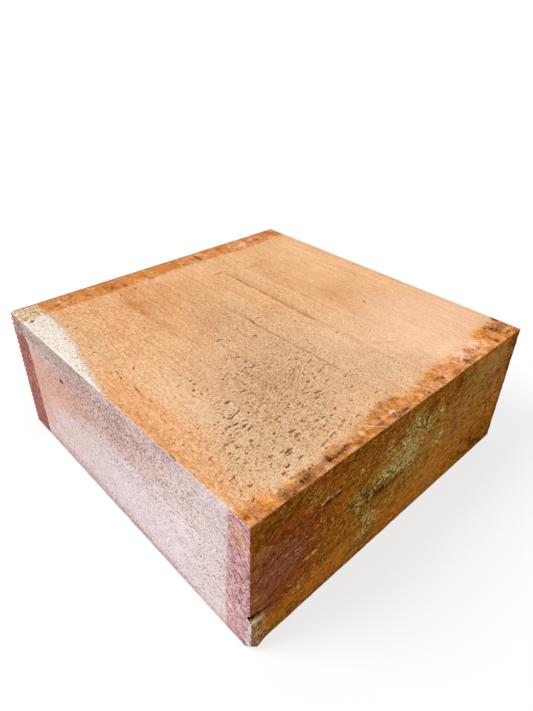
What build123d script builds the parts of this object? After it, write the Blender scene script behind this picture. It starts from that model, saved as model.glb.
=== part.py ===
from build123d import *

import os

# Square bowl-turning blank, sawn from one piece of hardwood.
#
# The grain runs along Y. The two end-grain faces, at -Y and +Y, are cross-cut; the other four faces are
# ripped. At the lower front-left corner the saw left a torn spur of fibres, which stands proud of the
# front end-grain face, and the very tip of that corner has broken away.
#
# Frame: millimetres, +Z up, origin at the centre of the underside of the overall box.

# Sawn sizes
BLANK_WIDTH = 203.0  # across the grain, along X
BLANK_LENGTH = 203.0  # along the grain, along Y, measured over the torn spur
BLANK_THICKNESS = 78.0  # from the bench to the upper face
ARRIS_RADIUS = 0.6  # sharp sawn arrises, just rubbed by handling

# Torn spur at the lower front-left corner
SPUR_PROUD = 1.3  # how far its face stands in front of the sawn end
SPUR_FLAT = 4.5  # width over which it keeps its full thickness
SPUR_WIDTH = 9.3  # width at which it has run out to nothing
SPUR_HEIGHT = 22.0  # its torn ledge, above the bench
SPUR_ROOT = 3.0  # how deep the spur's solid is rooted in the block

# Broken tip of the same corner, measured from the corner along each edge
TIP_LOSS_ACROSS = 4.0
TIP_LOSS_ALONG = 4.0
TIP_LOSS_UP = 5.0

left_x = -BLANK_WIDTH / 2
front_y = -BLANK_LENGTH / 2
sawn_front_y = front_y + SPUR_PROUD
body_length = BLANK_LENGTH - SPUR_PROUD
body_centre_y = SPUR_PROUD / 2

# Square block, with the grain along Y and all its arrises eased
with BuildPart() as turning_blank:
    with BuildSketch() as plan:
        with Locations((0, body_centre_y)):
            Rectangle(BLANK_WIDTH, body_length)
    extrude(amount=BLANK_THICKNESS)
    fillet(turning_blank.edges(), radius=ARRIS_RADIUS)

    # Torn spur, a wedge in plan that runs out to the right
    with BuildSketch() as spur_plan:
        with BuildLine():
            Polyline(
                (left_x, sawn_front_y + SPUR_ROOT),
                (left_x, front_y),
                (left_x + SPUR_FLAT, front_y),
                (left_x + SPUR_WIDTH, sawn_front_y),
                (left_x + SPUR_WIDTH, sawn_front_y + SPUR_ROOT),
                close=True,
            )
        make_face()
    extrude(amount=SPUR_HEIGHT)

    # Broken tip, a plane through one point on each of the corner's three edges
    across = Vector(left_x + TIP_LOSS_ACROSS, front_y, 0)
    along = Vector(left_x, front_y + TIP_LOSS_ALONG, 0)
    up = Vector(left_x, front_y, TIP_LOSS_UP)
    break_plane = Plane(origin=across, x_dir=along - across, z_dir=(along - across).cross(up - across))
    split(bisect_by=break_plane, keep=Keep.TOP)

turning_blank.part.label = "turning_blank"

os.makedirs("parts", exist_ok=True)
export_step(turning_blank.part, "parts/turning_blank.step")

print("size", turning_blank.part.bounding_box().size, "volume", round(turning_blank.part.volume))
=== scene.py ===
import logging
import math
import random
from dataclasses import dataclass, field
from enum import Enum

import bmesh
import bpy
import numpy as np
from mathutils import Matrix, Vector, noise


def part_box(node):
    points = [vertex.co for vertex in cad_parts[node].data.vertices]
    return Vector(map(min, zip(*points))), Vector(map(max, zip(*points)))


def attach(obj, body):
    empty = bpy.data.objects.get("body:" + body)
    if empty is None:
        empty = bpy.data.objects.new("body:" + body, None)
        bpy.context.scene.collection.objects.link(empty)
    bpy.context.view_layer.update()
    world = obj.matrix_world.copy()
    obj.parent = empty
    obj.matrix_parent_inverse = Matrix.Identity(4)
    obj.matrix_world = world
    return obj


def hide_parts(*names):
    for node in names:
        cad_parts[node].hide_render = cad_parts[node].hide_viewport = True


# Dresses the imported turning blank: one sawn block whose faces, arrises and torn corner are modelled at
# their real size, with a wood finish for each kind of face, a pale floor, soft light and a camera.
# Sizes are in millimetres unless a name says otherwise; the scene itself is in metres.

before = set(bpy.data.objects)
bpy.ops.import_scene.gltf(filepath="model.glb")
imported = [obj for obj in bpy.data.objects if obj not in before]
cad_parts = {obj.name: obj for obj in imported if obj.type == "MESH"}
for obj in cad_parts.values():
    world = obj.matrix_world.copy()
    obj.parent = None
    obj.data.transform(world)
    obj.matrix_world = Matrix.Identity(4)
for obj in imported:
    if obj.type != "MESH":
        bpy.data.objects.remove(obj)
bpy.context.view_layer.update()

MM = 0.001
NODE = "turning_blank"
BODY = "root"

Colour = tuple[float, float, float]
Socket = bpy.types.NodeSocket
Value = Socket | float
Tint = tuple[Colour | Socket, Colour | Socket]  # a wood colour at its darkest and at its lightest
Outline = tuple[tuple[float, float], ...]  # places along a face, each with a reach in from the end
Spots = tuple[tuple[float, float, float, float, float], ...]  # patches, as Patch takes them

NOISE_GAIN = 9.0  # brings a raw noise's usual swing, about 0.11 either way, to 1
PIT_GROWTH = 1.1  # how fast a pit grows with its luck
LARGEST_PIT = 0.48  # the largest pit's radius, as a share of the space between two
LONGEST_FADE = 5.0  # a growth line fades out over this length, in millimetres, or a third of its own


class Face(Enum):
    """The block's six faces. A face's number is also its place in the list of finishes."""

    TOP = 0
    UNDERSIDE = 1
    LEFT_SIDE = 2
    RIGHT_SIDE = 3
    FRONT_END = 4
    BACK_END = 5

    @property
    def outward(self) -> Vector:
        """The direction that the face looks in."""
        return Vector(OUTWARD[self.value])

    @property
    def axes(self) -> tuple[int, int]:
        """The two axes of the frame that lie in the face."""
        return AXES_IN_FACE[self.value // 2]


OUTWARD = ((0, 0, 1), (0, 0, -1), (-1, 0, 0), (1, 0, 0), (0, -1, 0), (0, 1, 0))
AXES_IN_FACE = ((0, 1), (1, 2), (0, 2))


class Wiring:
    """One material's node tree, with a short call for each kind of node that the finishes use."""

    def __init__(self, name: str, gloss: float) -> None:
        """Starts the material with its shader and nothing else.

        Args:
            name: The material's name.
            gloss: The shader's specular level.
        """
        self.material = bpy.data.materials.new(name)
        self.material.use_nodes = True
        self.tree = self.material.node_tree
        self.shader = self.tree.nodes["Principled BSDF"]
        self.shader.inputs["Specular IOR Level"].default_value = gloss
        self.coordinates = self.tree.nodes.new("ShaderNodeTexCoord").outputs["Object"]

    def feed(self, socket: Socket, value: Value | Colour) -> None:
        """Links a socket to another, or sets its own value.

        Args:
            socket: The input that is fed.
            value: Another node's output, a number or a colour.
        """
        if isinstance(value, bpy.types.NodeSocket):
            self.tree.links.new(value, socket)
        elif isinstance(value, tuple) and len(socket.default_value) == 4:
            socket.default_value = (*value, 1.0)
        else:
            socket.default_value = value

    def node(self, kind: str, inputs: dict[str | int, Value | Colour], **settings: object) -> bpy.types.Node:
        """Adds one node.

        Args:
            kind: The node's type in Blender.
            inputs: What each of its inputs is fed with.
            **settings: Its own settings.

        Returns:
            The node.
        """
        made = self.tree.nodes.new(kind)
        for key, value in settings.items():
            setattr(made, key, value)
        for key, value in inputs.items():
            self.feed(made.inputs[key], value)
        return made

    def position(self, per_mm: Colour = (1.0, 1.0, 1.0), turn: Colour = (0.0, 0.0, 0.0)) -> Socket:
        """The place on the block, in millimetres from the frame's origin.

        Args:
            per_mm: How much each axis is stretched, as pattern units to a millimetre.
            turn: Turn about each axis in degrees, made before the stretch.

        Returns:
            The vector's socket.
        """
        turned = self.coordinates
        if any(turn):
            angles = tuple(math.radians(angle) for angle in turn)
            turned = self.node("ShaderNodeMapping", {"Vector": turned, "Rotation": angles}).outputs["Vector"]
        scale = tuple(each / MM for each in per_mm)
        return self.node("ShaderNodeMapping", {"Vector": turned, "Scale": scale}).outputs["Vector"]

    def axis(self, index: int) -> Socket:
        """One coordinate of the place on the block, in millimetres."""
        return self.node("ShaderNodeSeparateXYZ", {"Vector": self.position()}).outputs[index]

    def grain(self, per_mm: Colour, detail: float = 3.0, roughness: float = 0.55, distortion: float = 0.0,
              turn: Colour = (0.0, 0.0, 0.0)) -> Socket:
        """A stretched noise about 0, whose usual swing is 1 either way.

        Args:
            per_mm: How fine the noise is along each axis, in pattern units to a millimetre.
            detail: How many finer layers it has.
            roughness: How strong those are.
            distortion: How far it is pulled about.
            turn: Turn about each axis in degrees.

        Returns:
            The noise's socket.
        """
        return self.noise_at(self.position(per_mm, turn), detail, roughness, distortion)

    def noise_at(self, place: Socket, detail: float, roughness: float, distortion: float = 0.0) -> Socket:
        """A noise about 0 that reads a place as it is given, and whose usual swing is 1 either way.

        Args:
            place: The place, in pattern units.
            detail: How many finer layers the noise has.
            roughness: How strong those are.
            distortion: How far it is pulled about.

        Returns:
            The noise's socket.
        """
        inputs = {"Vector": place, "Scale": 1.0, "Detail": detail, "Roughness": roughness}
        made = self.node("ShaderNodeTexNoise", {**inputs, "Distortion": distortion}).outputs["Fac"]
        return self.maths("MULTIPLY_ADD", made, NOISE_GAIN, -NOISE_GAIN / 2)

    def pits(self, per_mm: Colour, share: Value, turn: Colour = (0.0, 0.0, 0.0)) -> Socket:
        """Scattered pits of many sizes.

        Args:
            per_mm: How close together they lie along each axis, in pits to a millimetre.
            share: The share of the places that hold one, from 0 to 1.
            turn: Turn about each axis in degrees.

        Returns:
            A socket that is 0 on the plain surface and 1 in the middle of a pit.
        """
        cell = self.node("ShaderNodeTexVoronoi", {"Vector": self.position(per_mm, turn), "Scale": 1.0})
        luck = self.node("ShaderNodeSeparateColor", {"Color": cell.outputs["Color"]}).outputs["Red"]
        size = self.maths("MINIMUM", self.times(self.add(luck, share, -1.0), PIT_GROWTH), LARGEST_PIT)
        return self.ease(self.maths("SUBTRACT", size, cell.outputs["Distance"]), 0.0, 0.2)

    def line(self, place: Socket, mark: "Line", wander: Socket) -> Socket:
        """A thin line between two places of the upper face.

        Args:
            place: The place on the block, in millimetres.
            mark: The line.
            wander: How far the line strays to one side, in millimetres.

        Returns:
            A socket that is 0 away from the line and the line's strength on it.
        """
        start, end = Vector(mark.start), Vector(mark.end)
        way = (end - start).normalized()
        side = Vector((-way.y, way.x))
        along, beside = self.reach_along(place, way), self.reach_along(place, side)
        away = self.maths("ABSOLUTE", self.add(beside, -side.dot(start), wander))
        first, last = way.dot(start), way.dot(end)
        fade = min(LONGEST_FADE, (last - first) / 3)
        inside = self.times(self.ease(along, first, first + fade), self.ease(along, last, last - fade))
        return self.times(self.ease(away, mark.width, 0.1 * mark.width), inside, mark.strength)

    def reach_along(self, place: Socket, way: Vector) -> Socket:
        """How far a place lies along a direction of the upper face, in millimetres."""
        inputs = {0: place, 1: (*way, 0.0)}
        return self.node("ShaderNodeVectorMath", inputs, operation="DOT_PRODUCT").outputs["Value"]

    def mask(self, name: str) -> Socket:
        """The value of one of the block's painted masks."""
        return self.node("ShaderNodeAttribute", {}, attribute_name=name).outputs["Fac"]

    def maths(self, operation: str, first: Value, second: Value = 0.0, third: Value = 0.0) -> Socket:
        """One step of arithmetic, named as Blender names it."""
        inputs = {0: first, 1: second, 2: third}
        return self.node("ShaderNodeMath", inputs, operation=operation).outputs["Value"]

    def add(self, *values: Value | tuple[Value, ...]) -> Socket:
        """The sum of several values.

        Args:
            *values: What is added up. A tuple stands for the product of its own values.

        Returns:
            The sum's socket.
        """
        parts = [self.times(*value) if isinstance(value, tuple) else value for value in values]
        total = parts[0]
        for part in parts[1:]:
            total = self.maths("ADD", total, part)
        return total

    def times(self, *values: Value) -> Socket:
        """The product of several values.

        Args:
            *values: What is multiplied.

        Returns:
            The product's socket.
        """
        product = values[0]
        for value in values[1:]:
            product = self.maths("MULTIPLY", product, value)
        return product

    def ease(self, value: Value, start: float, end: float, low: float = 0.0, high: float = 1.0) -> Socket:
        """Eases from low to high as a value goes from start to end.

        Args:
            value: The value that drives the change.
            start: Where the change begins.
            end: Where it is complete.
            low: The result before start.
            high: The result after end.

        Returns:
            The eased value's socket.
        """
        inputs = {"Value": value, "From Min": start, "From Max": end, "To Min": low, "To Max": high}
        made = self.node("ShaderNodeMapRange", inputs, interpolation_type="SMOOTHSTEP")
        return made.outputs["Result"]

    def blend(self, share: Value, first: Socket | Colour, second: Socket | Colour) -> Socket:
        """Mixes two colours.

        Args:
            share: How much of the second colour there is.
            first: The colour at share 0.
            second: The colour at share 1.

        Returns:
            The mixed colour's socket.
        """
        inputs = {0: share, 6: first, 7: second}
        return self.node("ShaderNodeMix", inputs, data_type="RGBA", clamp_factor=True).outputs[2]

    def mix_tints(self, share: Value, first: Tint, second: Tint) -> Tint:
        """Mixes two tints, the dark ends with each other and the light ends too."""
        return self.blend(share, first[0], second[0]), self.blend(share, first[1], second[1])

    def ramp(self, shade: Value, tint: Tint) -> Socket:
        """The colour of a tint at a shade from 0, its darkest, to 1, its lightest."""
        return self.blend(self.node("ShaderNodeClamp", {"Value": shade}).outputs["Result"], tint[0], tint[1])

    def finish(self, colour: Socket, roughness: Socket, height: Socket) -> bpy.types.Material:
        """Wires the shader.

        Args:
            colour: The surface's colour.
            roughness: Its roughness.
            height: The height of its fine relief, in millimetres.

        Returns:
            The finished material.
        """
        bump = self.node("ShaderNodeBump", {"Height": height, "Distance": MM})
        self.feed(self.shader.inputs["Base Color"], colour)
        self.feed(self.shader.inputs["Roughness"], roughness)
        self.feed(self.shader.inputs["Normal"], bump.outputs["Normal"])
        return self.material


@dataclass(frozen=True)
class Patch:
    """A soft-edged area on one face, with its middle and its reach along the face's two axes."""

    middle_first: float
    middle_second: float
    reach_first: float
    reach_second: float
    strength: float

    def weigh(self, first: np.ndarray, second: np.ndarray) -> np.ndarray:
        """How strongly the patch holds at each point of its face.

        Args:
            first: The points along the face's first axis.
            second: The points along its second axis.

        Returns:
            The patch's strength there, falling to nothing past its reach.
        """
        off_first = (first - self.middle_first) / self.reach_first
        off_second = (second - self.middle_second) / self.reach_second
        return self.strength * np.exp(-(off_first ** 2 + off_second ** 2))


@dataclass(frozen=True)
class Line:
    """A thin growth line or scuff on the upper face."""

    start: tuple[float, float]
    end: tuple[float, float]
    width: float
    strength: float


@dataclass(frozen=True)
class Mark:
    """A small hollow in one face: a pit, a tear-out, a check or a nick."""

    face: Face
    centre: tuple[float, float]
    length: float
    width: float
    depth: float
    turn: float = 0.0

    def measure(self, first: np.ndarray, second: np.ndarray) -> np.ndarray:
        """How far points are from the mark's long line.

        Args:
            first: The points along the face's first axis.
            second: The points along its second axis.

        Returns:
            The distance of each.
        """
        cosine, sine = math.cos(math.radians(self.turn)), math.sin(math.radians(self.turn))
        across, up = first - self.centre[0], second - self.centre[1]
        along = across * cosine + up * sine
        beside = up * cosine - across * sine
        beyond = np.maximum(np.abs(along) - (self.length - self.width) / 2, 0.0)
        return np.hypot(beyond, beside)

    def near(self, first: np.ndarray, second: np.ndarray, margin: float) -> np.ndarray:
        """Whether each point is within a margin of the mark."""
        return self.measure(first, second) < self.width / 2 + margin

    def hollow(self, first: np.ndarray, second: np.ndarray) -> np.ndarray:
        """How deep each point lies in the mark, from 0 outside it to 1 on its line."""
        share = self.measure(first, second) / (self.width / 2)
        return np.clip(1.0 - share * share, 0.0, 1.0)


@dataclass(frozen=True)
class PitField:
    """A stretch of the top where the planer tore short pits out, mostly across the grain."""

    centre: tuple[float, float]
    reach: tuple[float, float]
    count: int
    longest: float
    turn: float = 2.0

    def scatter(self, draw: random.Random) -> list[Mark]:
        """Draws the field's pits.

        Args:
            draw: The seeded source of the draws.

        Returns:
            The pits, thickest near the field's centre.
        """
        pits = []
        for _ in range(self.count):
            place = (draw.gauss(self.centre[0], self.reach[0]), draw.gauss(self.centre[1], self.reach[1]))
            length = self.longest * (0.35 + 0.65 * draw.random() ** 2)
            width = draw.uniform(0.55, 0.85) + 0.05 * length
            depth = draw.uniform(0.4, 0.8)
            turn = self.turn + draw.gauss(0, 12)
            pits.append(Mark(Face.TOP, place, max(length, width), width, depth, turn))
        return pits


@dataclass(frozen=True)
class FaceLook:
    """What wax, sun, dirt and the saw have left on one face, with some painted shade and highlights, in
    millimetres.

    The two outlines say how far the wax reaches in from each end. A spot is written as a patch's middle
    along the face's two axes, its reach along each, and its strength.
    """

    wax_front: Outline = ()
    wax_back: Outline = ()
    # Lighter and darker patches of the wood's own tone, and painted shadow along the bottom of the left side.
    tone: Spots = ()
    warmth: Spots = ()
    rough: Spots = ()
    # Dark stains, and a painted shadow line along the left side's bottom arris.
    stain_and_shadow: Spots = ()
    bloom: Spots = ()
    # Pale torn fibre, and painted highlights at the top pits' lips and on the left side's arrises.
    torn: Spots = ()
    haze: Spots = ()

    def weigh(self, kind: str, first: np.ndarray, second: np.ndarray) -> np.ndarray:
        """How strongly one kind of spot holds at each point of the face.

        Args:
            kind: The field with the spots.
            first: The points along the face's first axis.
            second: The points along its second axis.

        Returns:
            The spots' strengths there, added up.
        """
        weights = (Patch(*spot).weigh(first, second) for spot in getattr(self, kind))
        return sum(weights, np.zeros(len(first)))


LOOKS = {
    Face.TOP: FaceLook(
        wax_front=((-101.5, 8.8), (-92, 8.7), (-86, 7.4), (-80, 6.7), (-74, 6.2), (-62, 6.4), (-59, 5.8),
                   (-55, 7.2), (-50, 7.8), (-44, 7.4), (-38, 7), (-33, 8.8), (-25, 9.8), (-20, 11.2),
                   (-12, 12.2), (-6, 12), (-2, 10), (4, 7.4), (8, 8.7), (14, 9.8), (20, 11.2), (40, 11.2),
                   (58, 12.2), (65, 10), (70, 14.2), (73, 16), (86, 17.2), (90, 15.6), (96, 16.4),
                   (101.5, 18.4)),
        wax_back=((-101.5, 16.6), (-87, 16.6), (-50, 16.4), (-38, 15.4), (-26, 15.2), (-20, 17.4),
                  (-14, 15), (0, 14), (18, 14), (40, 15.6), (56, 17), (72, 17), (84, 15.2),
                  (101.5, 14.6)),
        tone=((-38, 80, 7, 9, -0.5), (-36, 55, 24, 30, -0.3), (-15, 20, 40, 32, -0.3),
              (45, 65, 34, 22, -0.12), (60, 0, 16, 14, -0.3), (60, -62, 45, 30, 0.4),
              (85, 20, 22, 50, 0.15), (-78, -18, 10, 22, 0.5), (-74, -72, 22, 20, 0.35),
              (-40, -45, 16, 14, -0.3), (88, 68, 16, 12, 0.2), (10, -30, 18, 22, 0.2),
              (-44, 62, 5, 22, -0.35), (50, -18, 5, 26, -0.18), (-74, -44, 12, 22, 0.3),
              (-72, -94, 24, 6, 0.4), (52, -84, 14, 5, 0.5), (94, -90, 9, 8, -0.35),
              (-96, -95, 6, 3, 0.05), (96, 94, 7, 7, -0.5), (-39, 91, 7, 4, -0.45),
              (-50, 95, 50, 5, -0.3), (56, 95, 50, 5, -0.2), (-6, -93, 5, 4, 0.45), (79, -88, 7, 5, 0.1),
              (50, 92, 16, 6, 0.25), (-22, 88, 10, 4, 0.2), (-28.5, 51, 4, 8, -0.5),
              (-21.5, 73, 5, 10, -0.42), (-49, 66, 4, 9, -0.32), (28, 54, 3, 6, -0.4),
              (-67, -81, 4, 3, 0.5), (-42, 59, 5, 8, -0.35), (-67, -59, 4, 3, 0.4)),
        warmth=((-95, -32, 10, 50, 1), (-98, -62, 8, 30, 0.4), (-72, 30, 12, 44, 0.35),
                (68, -60, 48, 40, -0.8), (5, -35, 26, 30, -0.2), (-58, -56, 24, 30, 0.2),
                (-36, 30, 12, 22, 0.25), (-86, -40, 8, 40, 0.3), (-28, -52, 26, 26, -0.05),
                (-20, 20, 30, 24, 0.1)),
        rough=((-45, -50, 42, 44, 1), (-72, -78, 30, 22, 0.6), (-5, -20, 34, 40, 0.6),
               (-15, 25, 24, 26, 0.4), (40, 44, 16, 8, 0.5), (12, -75, 26, 20, 0.5),
               (-84, 40, 10, 40, 0.35)),
        stain_and_shadow=((-72, -97.6, 3, 1.5, 0.5), (-79, -99, 4, 1.2, 0.5), (-83, -97, 5, 2.5, 0.3),
               (-67, -96.6, 11, 3, 0.42), (-56, -95.6, 1.4, 2, 0.9), (-51, -97, 4.4, 1, 0.9),
               (-45.2, -96.3, 2.4, 1.3, 1.1), (-39.5, -98.8, 2, 0.9, 0.9), (-31, -97, 4, 2, 0.3),
               (-23.6, -97, 3, 1.3, 0.7), (-21, -93.8, 0.9, 0.9, 0.75), (-13.5, -97.8, 2, 1.6, 1.1),
               (-17, -96.5, 1.6, 1.2, 0.5), (-7.5, -98, 3.4, 1.3, 0.85), (-2, -93, 3, 1.6, 0.3),
               (12.2, -98.6, 1.2, 0.8, 0.9), (24.2, -94.9, 3, 0.8, 1.1), (27, -96.6, 0.8, 1.4, 0.7),
               (23, -99, 2.4, 0.8, 0.6), (38, -97.6, 5, 0.8, 0.7), (49, -96.6, 1.8, 2.2, 0.9),
               (55, -97.4, 6, 0.7, 0.75), (79, -97, 1.2, 1.6, 0.9), (79, -96.5, 3, 3, 0.25),
               (87, -86, 2.4, 1.2, 0.7), (89, -89, 1.8, 1.8, 0.7), (89.4, -93, 1.6, 1.6, 0.7),
               (96, -91, 6, 1, 0.7), (100.4, -85, 1.6, 2.4, 1.1), (93, -96.6, 3.6, 0.9, 0.6),
               (97, -99, 3, 1, 0.6), (94, -90, 9, 7, 0.24), (24, 93, 1.4, 5, 0.8),
               (-78, 91, 2.6, 1.2, 0.8), (-59, 90.5, 2, 1.6, 0.62), (-67, 96, 1.4, 1.6, 0.6),
               (77.4, 92, 2.2, 1.8, 0.95), (10.6, 90.4, 2.2, 2.2, 0.45), (31, 88.4, 2.4, 1, 0.45),
               (-52, 94, 1.2, 1.6, 0.5), (-9, 95, 1.2, 1.6, 0.4), (96, 93, 6, 7, 0.25),
               (-96.5, 82.8, 1.4, 1.2, 1), (-33, 80.6, 1.2, 1.2, 0.5), (-92, 96, 7, 2, 0.3)),
        bloom=((-13, -95.4, 3, 1.2, 0.9), (-60, -97.5, 3.4, 2, 0.7), (-68, -98.4, 8, 2, 0.4),
               (23, -99.8, 3, 1, 0.9), (54, -92, 13, 5, 0.5), (66, -92, 4, 6, 0.55),
               (-34, -94, 8, 3, 0.3), (-82, -96, 6, 3, 0.3), (8, -96, 8, 3, 0.25), (97, -95, 4, 2, 0.5),
               (56, 91, 15, 6, 0.35), (-20, 87, 8, 3, 0.4), (-76, 90, 7, 4, 0.25), (22, 86, 14, 2, 0.3)),
        # Pale spots just in front of pits: painted highlights on the pits' front lips.
        torn=((-62, -44, 1.4, 2.6, 1), (-56, -49.6, 1.2, 0.7, 1), (-54.2, -55, 0.8, 0.8, 1),
              (-70, -57.4, 3.4, 0.8, 1), (-66, -52.2, 2.6, 1.6, 0.8), (-33, -30.6, 2.4, 0.8, 0.9),
              (-61.6, -83.6, 1.6, 1.4, 1), (-61, -86.6, 2.4, 0.8, 0.8), (-70, -95.4, 4, 0.7, 0.9),
              (-31, -61.8, 1.4, 0.6, 0.8), (-31, -67.3, 2.4, 0.6, 1), (-16, -61.8, 3, 0.6, 0.7),
              (-39.4, -78.4, 2, 1, 0.8), (-17, -84.5, 3, 1.4, 0.5), (-13, -95.2, 3, 0.7, 1)),
    ),
    Face.UNDERSIDE: FaceLook(
        wax_front=((-101.5, 14.5), (-30, 12.8), (30, 14.2), (101.5, 16.5)),
        wax_back=((-101.5, 17), (0, 15.4), (101.5, 14)),
        tone=((-40, 20, 50, 60, -0.3), (50, -30, 40, 40, 0.3)),
        warmth=((60, 40, 40, 40, 0.4), (-60, -50, 40, 30, -0.4)),
        rough=((0, 0, 120, 120, 0.5),),
        stain_and_shadow=((-52, 40, 7, 3, 0.7), (36, -58, 4, 6, 0.7), (80, 82, 8, 4, 0.6)),
    ),
    Face.LEFT_SIDE: FaceLook(
        wax_front=((-0.1, 14.4), (22, 14.6), (55, 12.8), (78, 12.2)),
        wax_back=((-0.1, 19.8), (30, 19), (60, 18.2), (66, 16.8), (78, 13.8)),
        tone=((-43, 76, 12, 2, -0.5), (-24, 59, 6, 5, 0.45), (-86, 43, 6, 6, 0.4), (73, 65, 6, 6, -0.35),
              (-45, 73, 10, 4, -0.3), (-48, 58, 6, 5, 0.35), (-65, 76, 10, 2.5, -0.4),
              (60, 72, 34, 7, -0.2), (22, 66, 34, 16, -0.18), (-20, 72, 40, 7, -0.3),
              # The strip along the bottom, (20, 0, 110, 5, -1.1), is painted shadow.
              (-10, 26, 52, 24, 0.32), (-60, 46, 30, 34, 0.62), (20, 0, 110, 5, -1.1),
              (-95, 22, 9, 13, 0.42), (46, 62, 20, 10, 0.14), (-46, 8, 40, 10, 0.15),
              (48, 26, 20, 20, 0.1), (-94, 42, 7, 12, -0.3), (94, 60, 6, 6, -0.4), (95, 14, 6, 9, 0.35)),
        warmth=((60, 50, 30, 16, 0.75), (26, 57, 36, 12, 0.5), (77, 34, 8, 26, 0.7),
                (40, 20, 46, 24, 0.42), (-40, 40, 50, 30, -0.4), (-95, 66, 8, 9, 1), (-94, 42, 4, 5, 0.4),
                (97, 36, 4, 9, 0.7), (99, 58, 4, 6, 0.8)),
        rough=((-10, 62, 70, 17, 0.85), (70, 70, 24, 9, 0.5), (10, 2, 100, 7, 0.45),
               (10, 66, 30, 12, 0.4), (-30, 34, 50, 26, 0.25), (-78, 26, 20, 24, 0.3),
               (40, 50, 20, 14, 0.4), (-94, 40, 8, 16, 0.9)),
        stain_and_shadow=((46.2, 59.4, 1.9, 1.3, 2.2), (42.6, 62, 0.8, 0.8, 0.9), (50.4, 60.4, 1.6, 0.6, 0.4),
               # The line along the bottom arris, (20, -0.4, 90, 0.9, 0.45), is painted shadow.
               (-48.6, 35.6, 1.3, 0.9, 0.9), (-13.2, 31.8, 1.2, 0.9, 0.8), (20, -0.4, 90, 0.9, 0.45)),
        bloom=((-20, 20, 60, 26, 0.7), (-64, 54, 24, 20, 0.6)),
        # Pale strips along the rounded arrises, partly frayed fibre and partly painted highlight, and painted
        # highlights beside the black speck.
        torn=((-96, 77.6, 8, 1.5, 1), (-101.5, 40, 0.8, 60, 0.5), (-100.6, 14, 1.3, 7, 0.9),
              (-70, 78, 30, 0.7, 0.45), (-88.4, 18.6, 1.7, 1.6, 0.75), (-98, 62, 2, 7, 0.3),
              (60, 77.8, 40, 0.8, 0.6), (-55, 77.8, 1.6, 1, 1), (45.2, 62, 1.1, 1.3, 1.3),
              (49.6, 58.2, 2.2, 0.7, 0.6)),
    ),
    Face.RIGHT_SIDE: FaceLook(
        wax_front=((-0.1, 16), (40, 14.6), (78, 17.4)),
        wax_back=((-0.1, 15.2), (50, 16.8), (78, 15.8)),
        tone=((20, 60, 60, 16, -0.3), (-40, 20, 50, 20, 0.3)),
        warmth=((-20, 50, 60, 20, 0.9), (40, 30, 50, 24, 0.6), (-60, 16, 30, 16, 0.5)),
        rough=((0, 50, 80, 24, 0.5),),
        stain_and_shadow=((24, 22, 2.6, 1.6, 1), (-66, 61, 1.8, 1.4, 0.8)),
        bloom=((10, 20, 60, 20, 0.5),),
        torn=((60, 78, 30, 0.8, 0.6), (-30, 0, 40, 0.9, 0.6)),
    ),
    Face.FRONT_END: FaceLook(
        tone=((76, 60, 34, 22, -0.28), (-30, 8, 60, 14, 0.62), (28, 9, 24, 12, 0.66),
              (-60, 70, 50, 9, -0.4), (20, 77, 90, 4, -0.4), (-56, 14, 16, 6, 0.25),
              (-92, 44, 14, 24, -0.1), (-20, 38, 14, 5, -0.8), (14, 70, 9, 8, -0.4),
              (74, 9, 34, 10, -0.3), (-52, 74, 26, 5, -0.2), (-48, 44, 22, 16, -0.25),
              (40, 70, 16, 9, -0.5), (88, 6, 14, 12, -0.3), (101, 40, 2.5, 50, -0.4),
              (0, 0, 110, 2.5, -0.35), (-76, 78, 40, 3, -0.4), (10, 30, 12, 5, -0.25),
              (-96, 70, 7, 6, -0.55), (-83, 67, 6, 5, -0.4), (39, 66, 7, 5, -0.55),
              (-8.5, 66.4, 5, 5, -0.4), (99, 60, 2, 8, -0.35), (97, 70, 5, 8, -0.6),
              (-90, 20.5, 8, 2.5, 0.4), (-29, 58, 5, 4, -0.45)),
        warmth=((-88, 44, 15, 20, 1.3), (-97, 30, 8, 12, 1.1), (-74, 38, 18, 16, 0.7),
                (99, 58, 4, 16, 0.9), (99, 32, 3, 12, 0.7), (32, 62, 9, 6, 0.7), (66, 34, 18, 12, 0.5),
                (-58, 22.6, 40, 2, 0.8), (-66, 56, 16, 7, 0.6), (-97, 60, 10, 12, 0.3),
                (64, 44, 34, 20, -0.9), (76, 66, 30, 9, -1), (20, 26, 26, 10, -0.5),
                (-92, 20, 8, 5, 0.9)),
        stain_and_shadow=((-20, 37, 9, 3.6, 0.75), (-4, 35.5, 7, 3, 0.6), (17, 68, 5, 6, 0.75), (8, 70, 4, 3, 0.6),
               (-44, 58, 6, 1.2, 0.9), (40, 71, 9, 5, 0.55), (-32, 30, 4, 3, 0.5), (0, 50, 3, 4, 0.55),
               (-72, 30, 12, 1.6, 0.5), (-36, 46, 5, 9, 0.4), (20, 57, 3, 4, 0.4), (-40, 68, 26, 4, 0.3),
               (10, 40, 10, 3, 0.4)),
        bloom=((4, 66, 9, 6, 0.85), (-13, 47, 13, 6, 0.95), (4, 50, 8, 9, 0.95), (-24, 21, 5.5, 6, 1.1),
               (-29.5, 14.4, 3.6, 3, 1), (29.5, 40, 4.6, 5.6, 1.05), (38, 44, 2.2, 2.6, 0.8),
               (17, 56.5, 5, 5, 0.75), (27, 58, 3.6, 5, 0.95), (-9.5, 24, 2.2, 2.4, 1.1),
               (-36.5, 42, 3.4, 6, 0.85), (-16, 61, 4, 5, 0.65), (-61.5, 60.5, 3.2, 1.8, 0.62),
               (-75, 16.4, 2, 2.2, 0.95), (-52, 60.6, 8, 1.3, 0.5), (-72.4, 19.4, 2, 2, 0.8),
               (-67, 33, 3, 2, 0.85), (-27.4, 39, 2, 2, 0.9), (-35.4, 62, 3, 1.6, 0.8),
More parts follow.
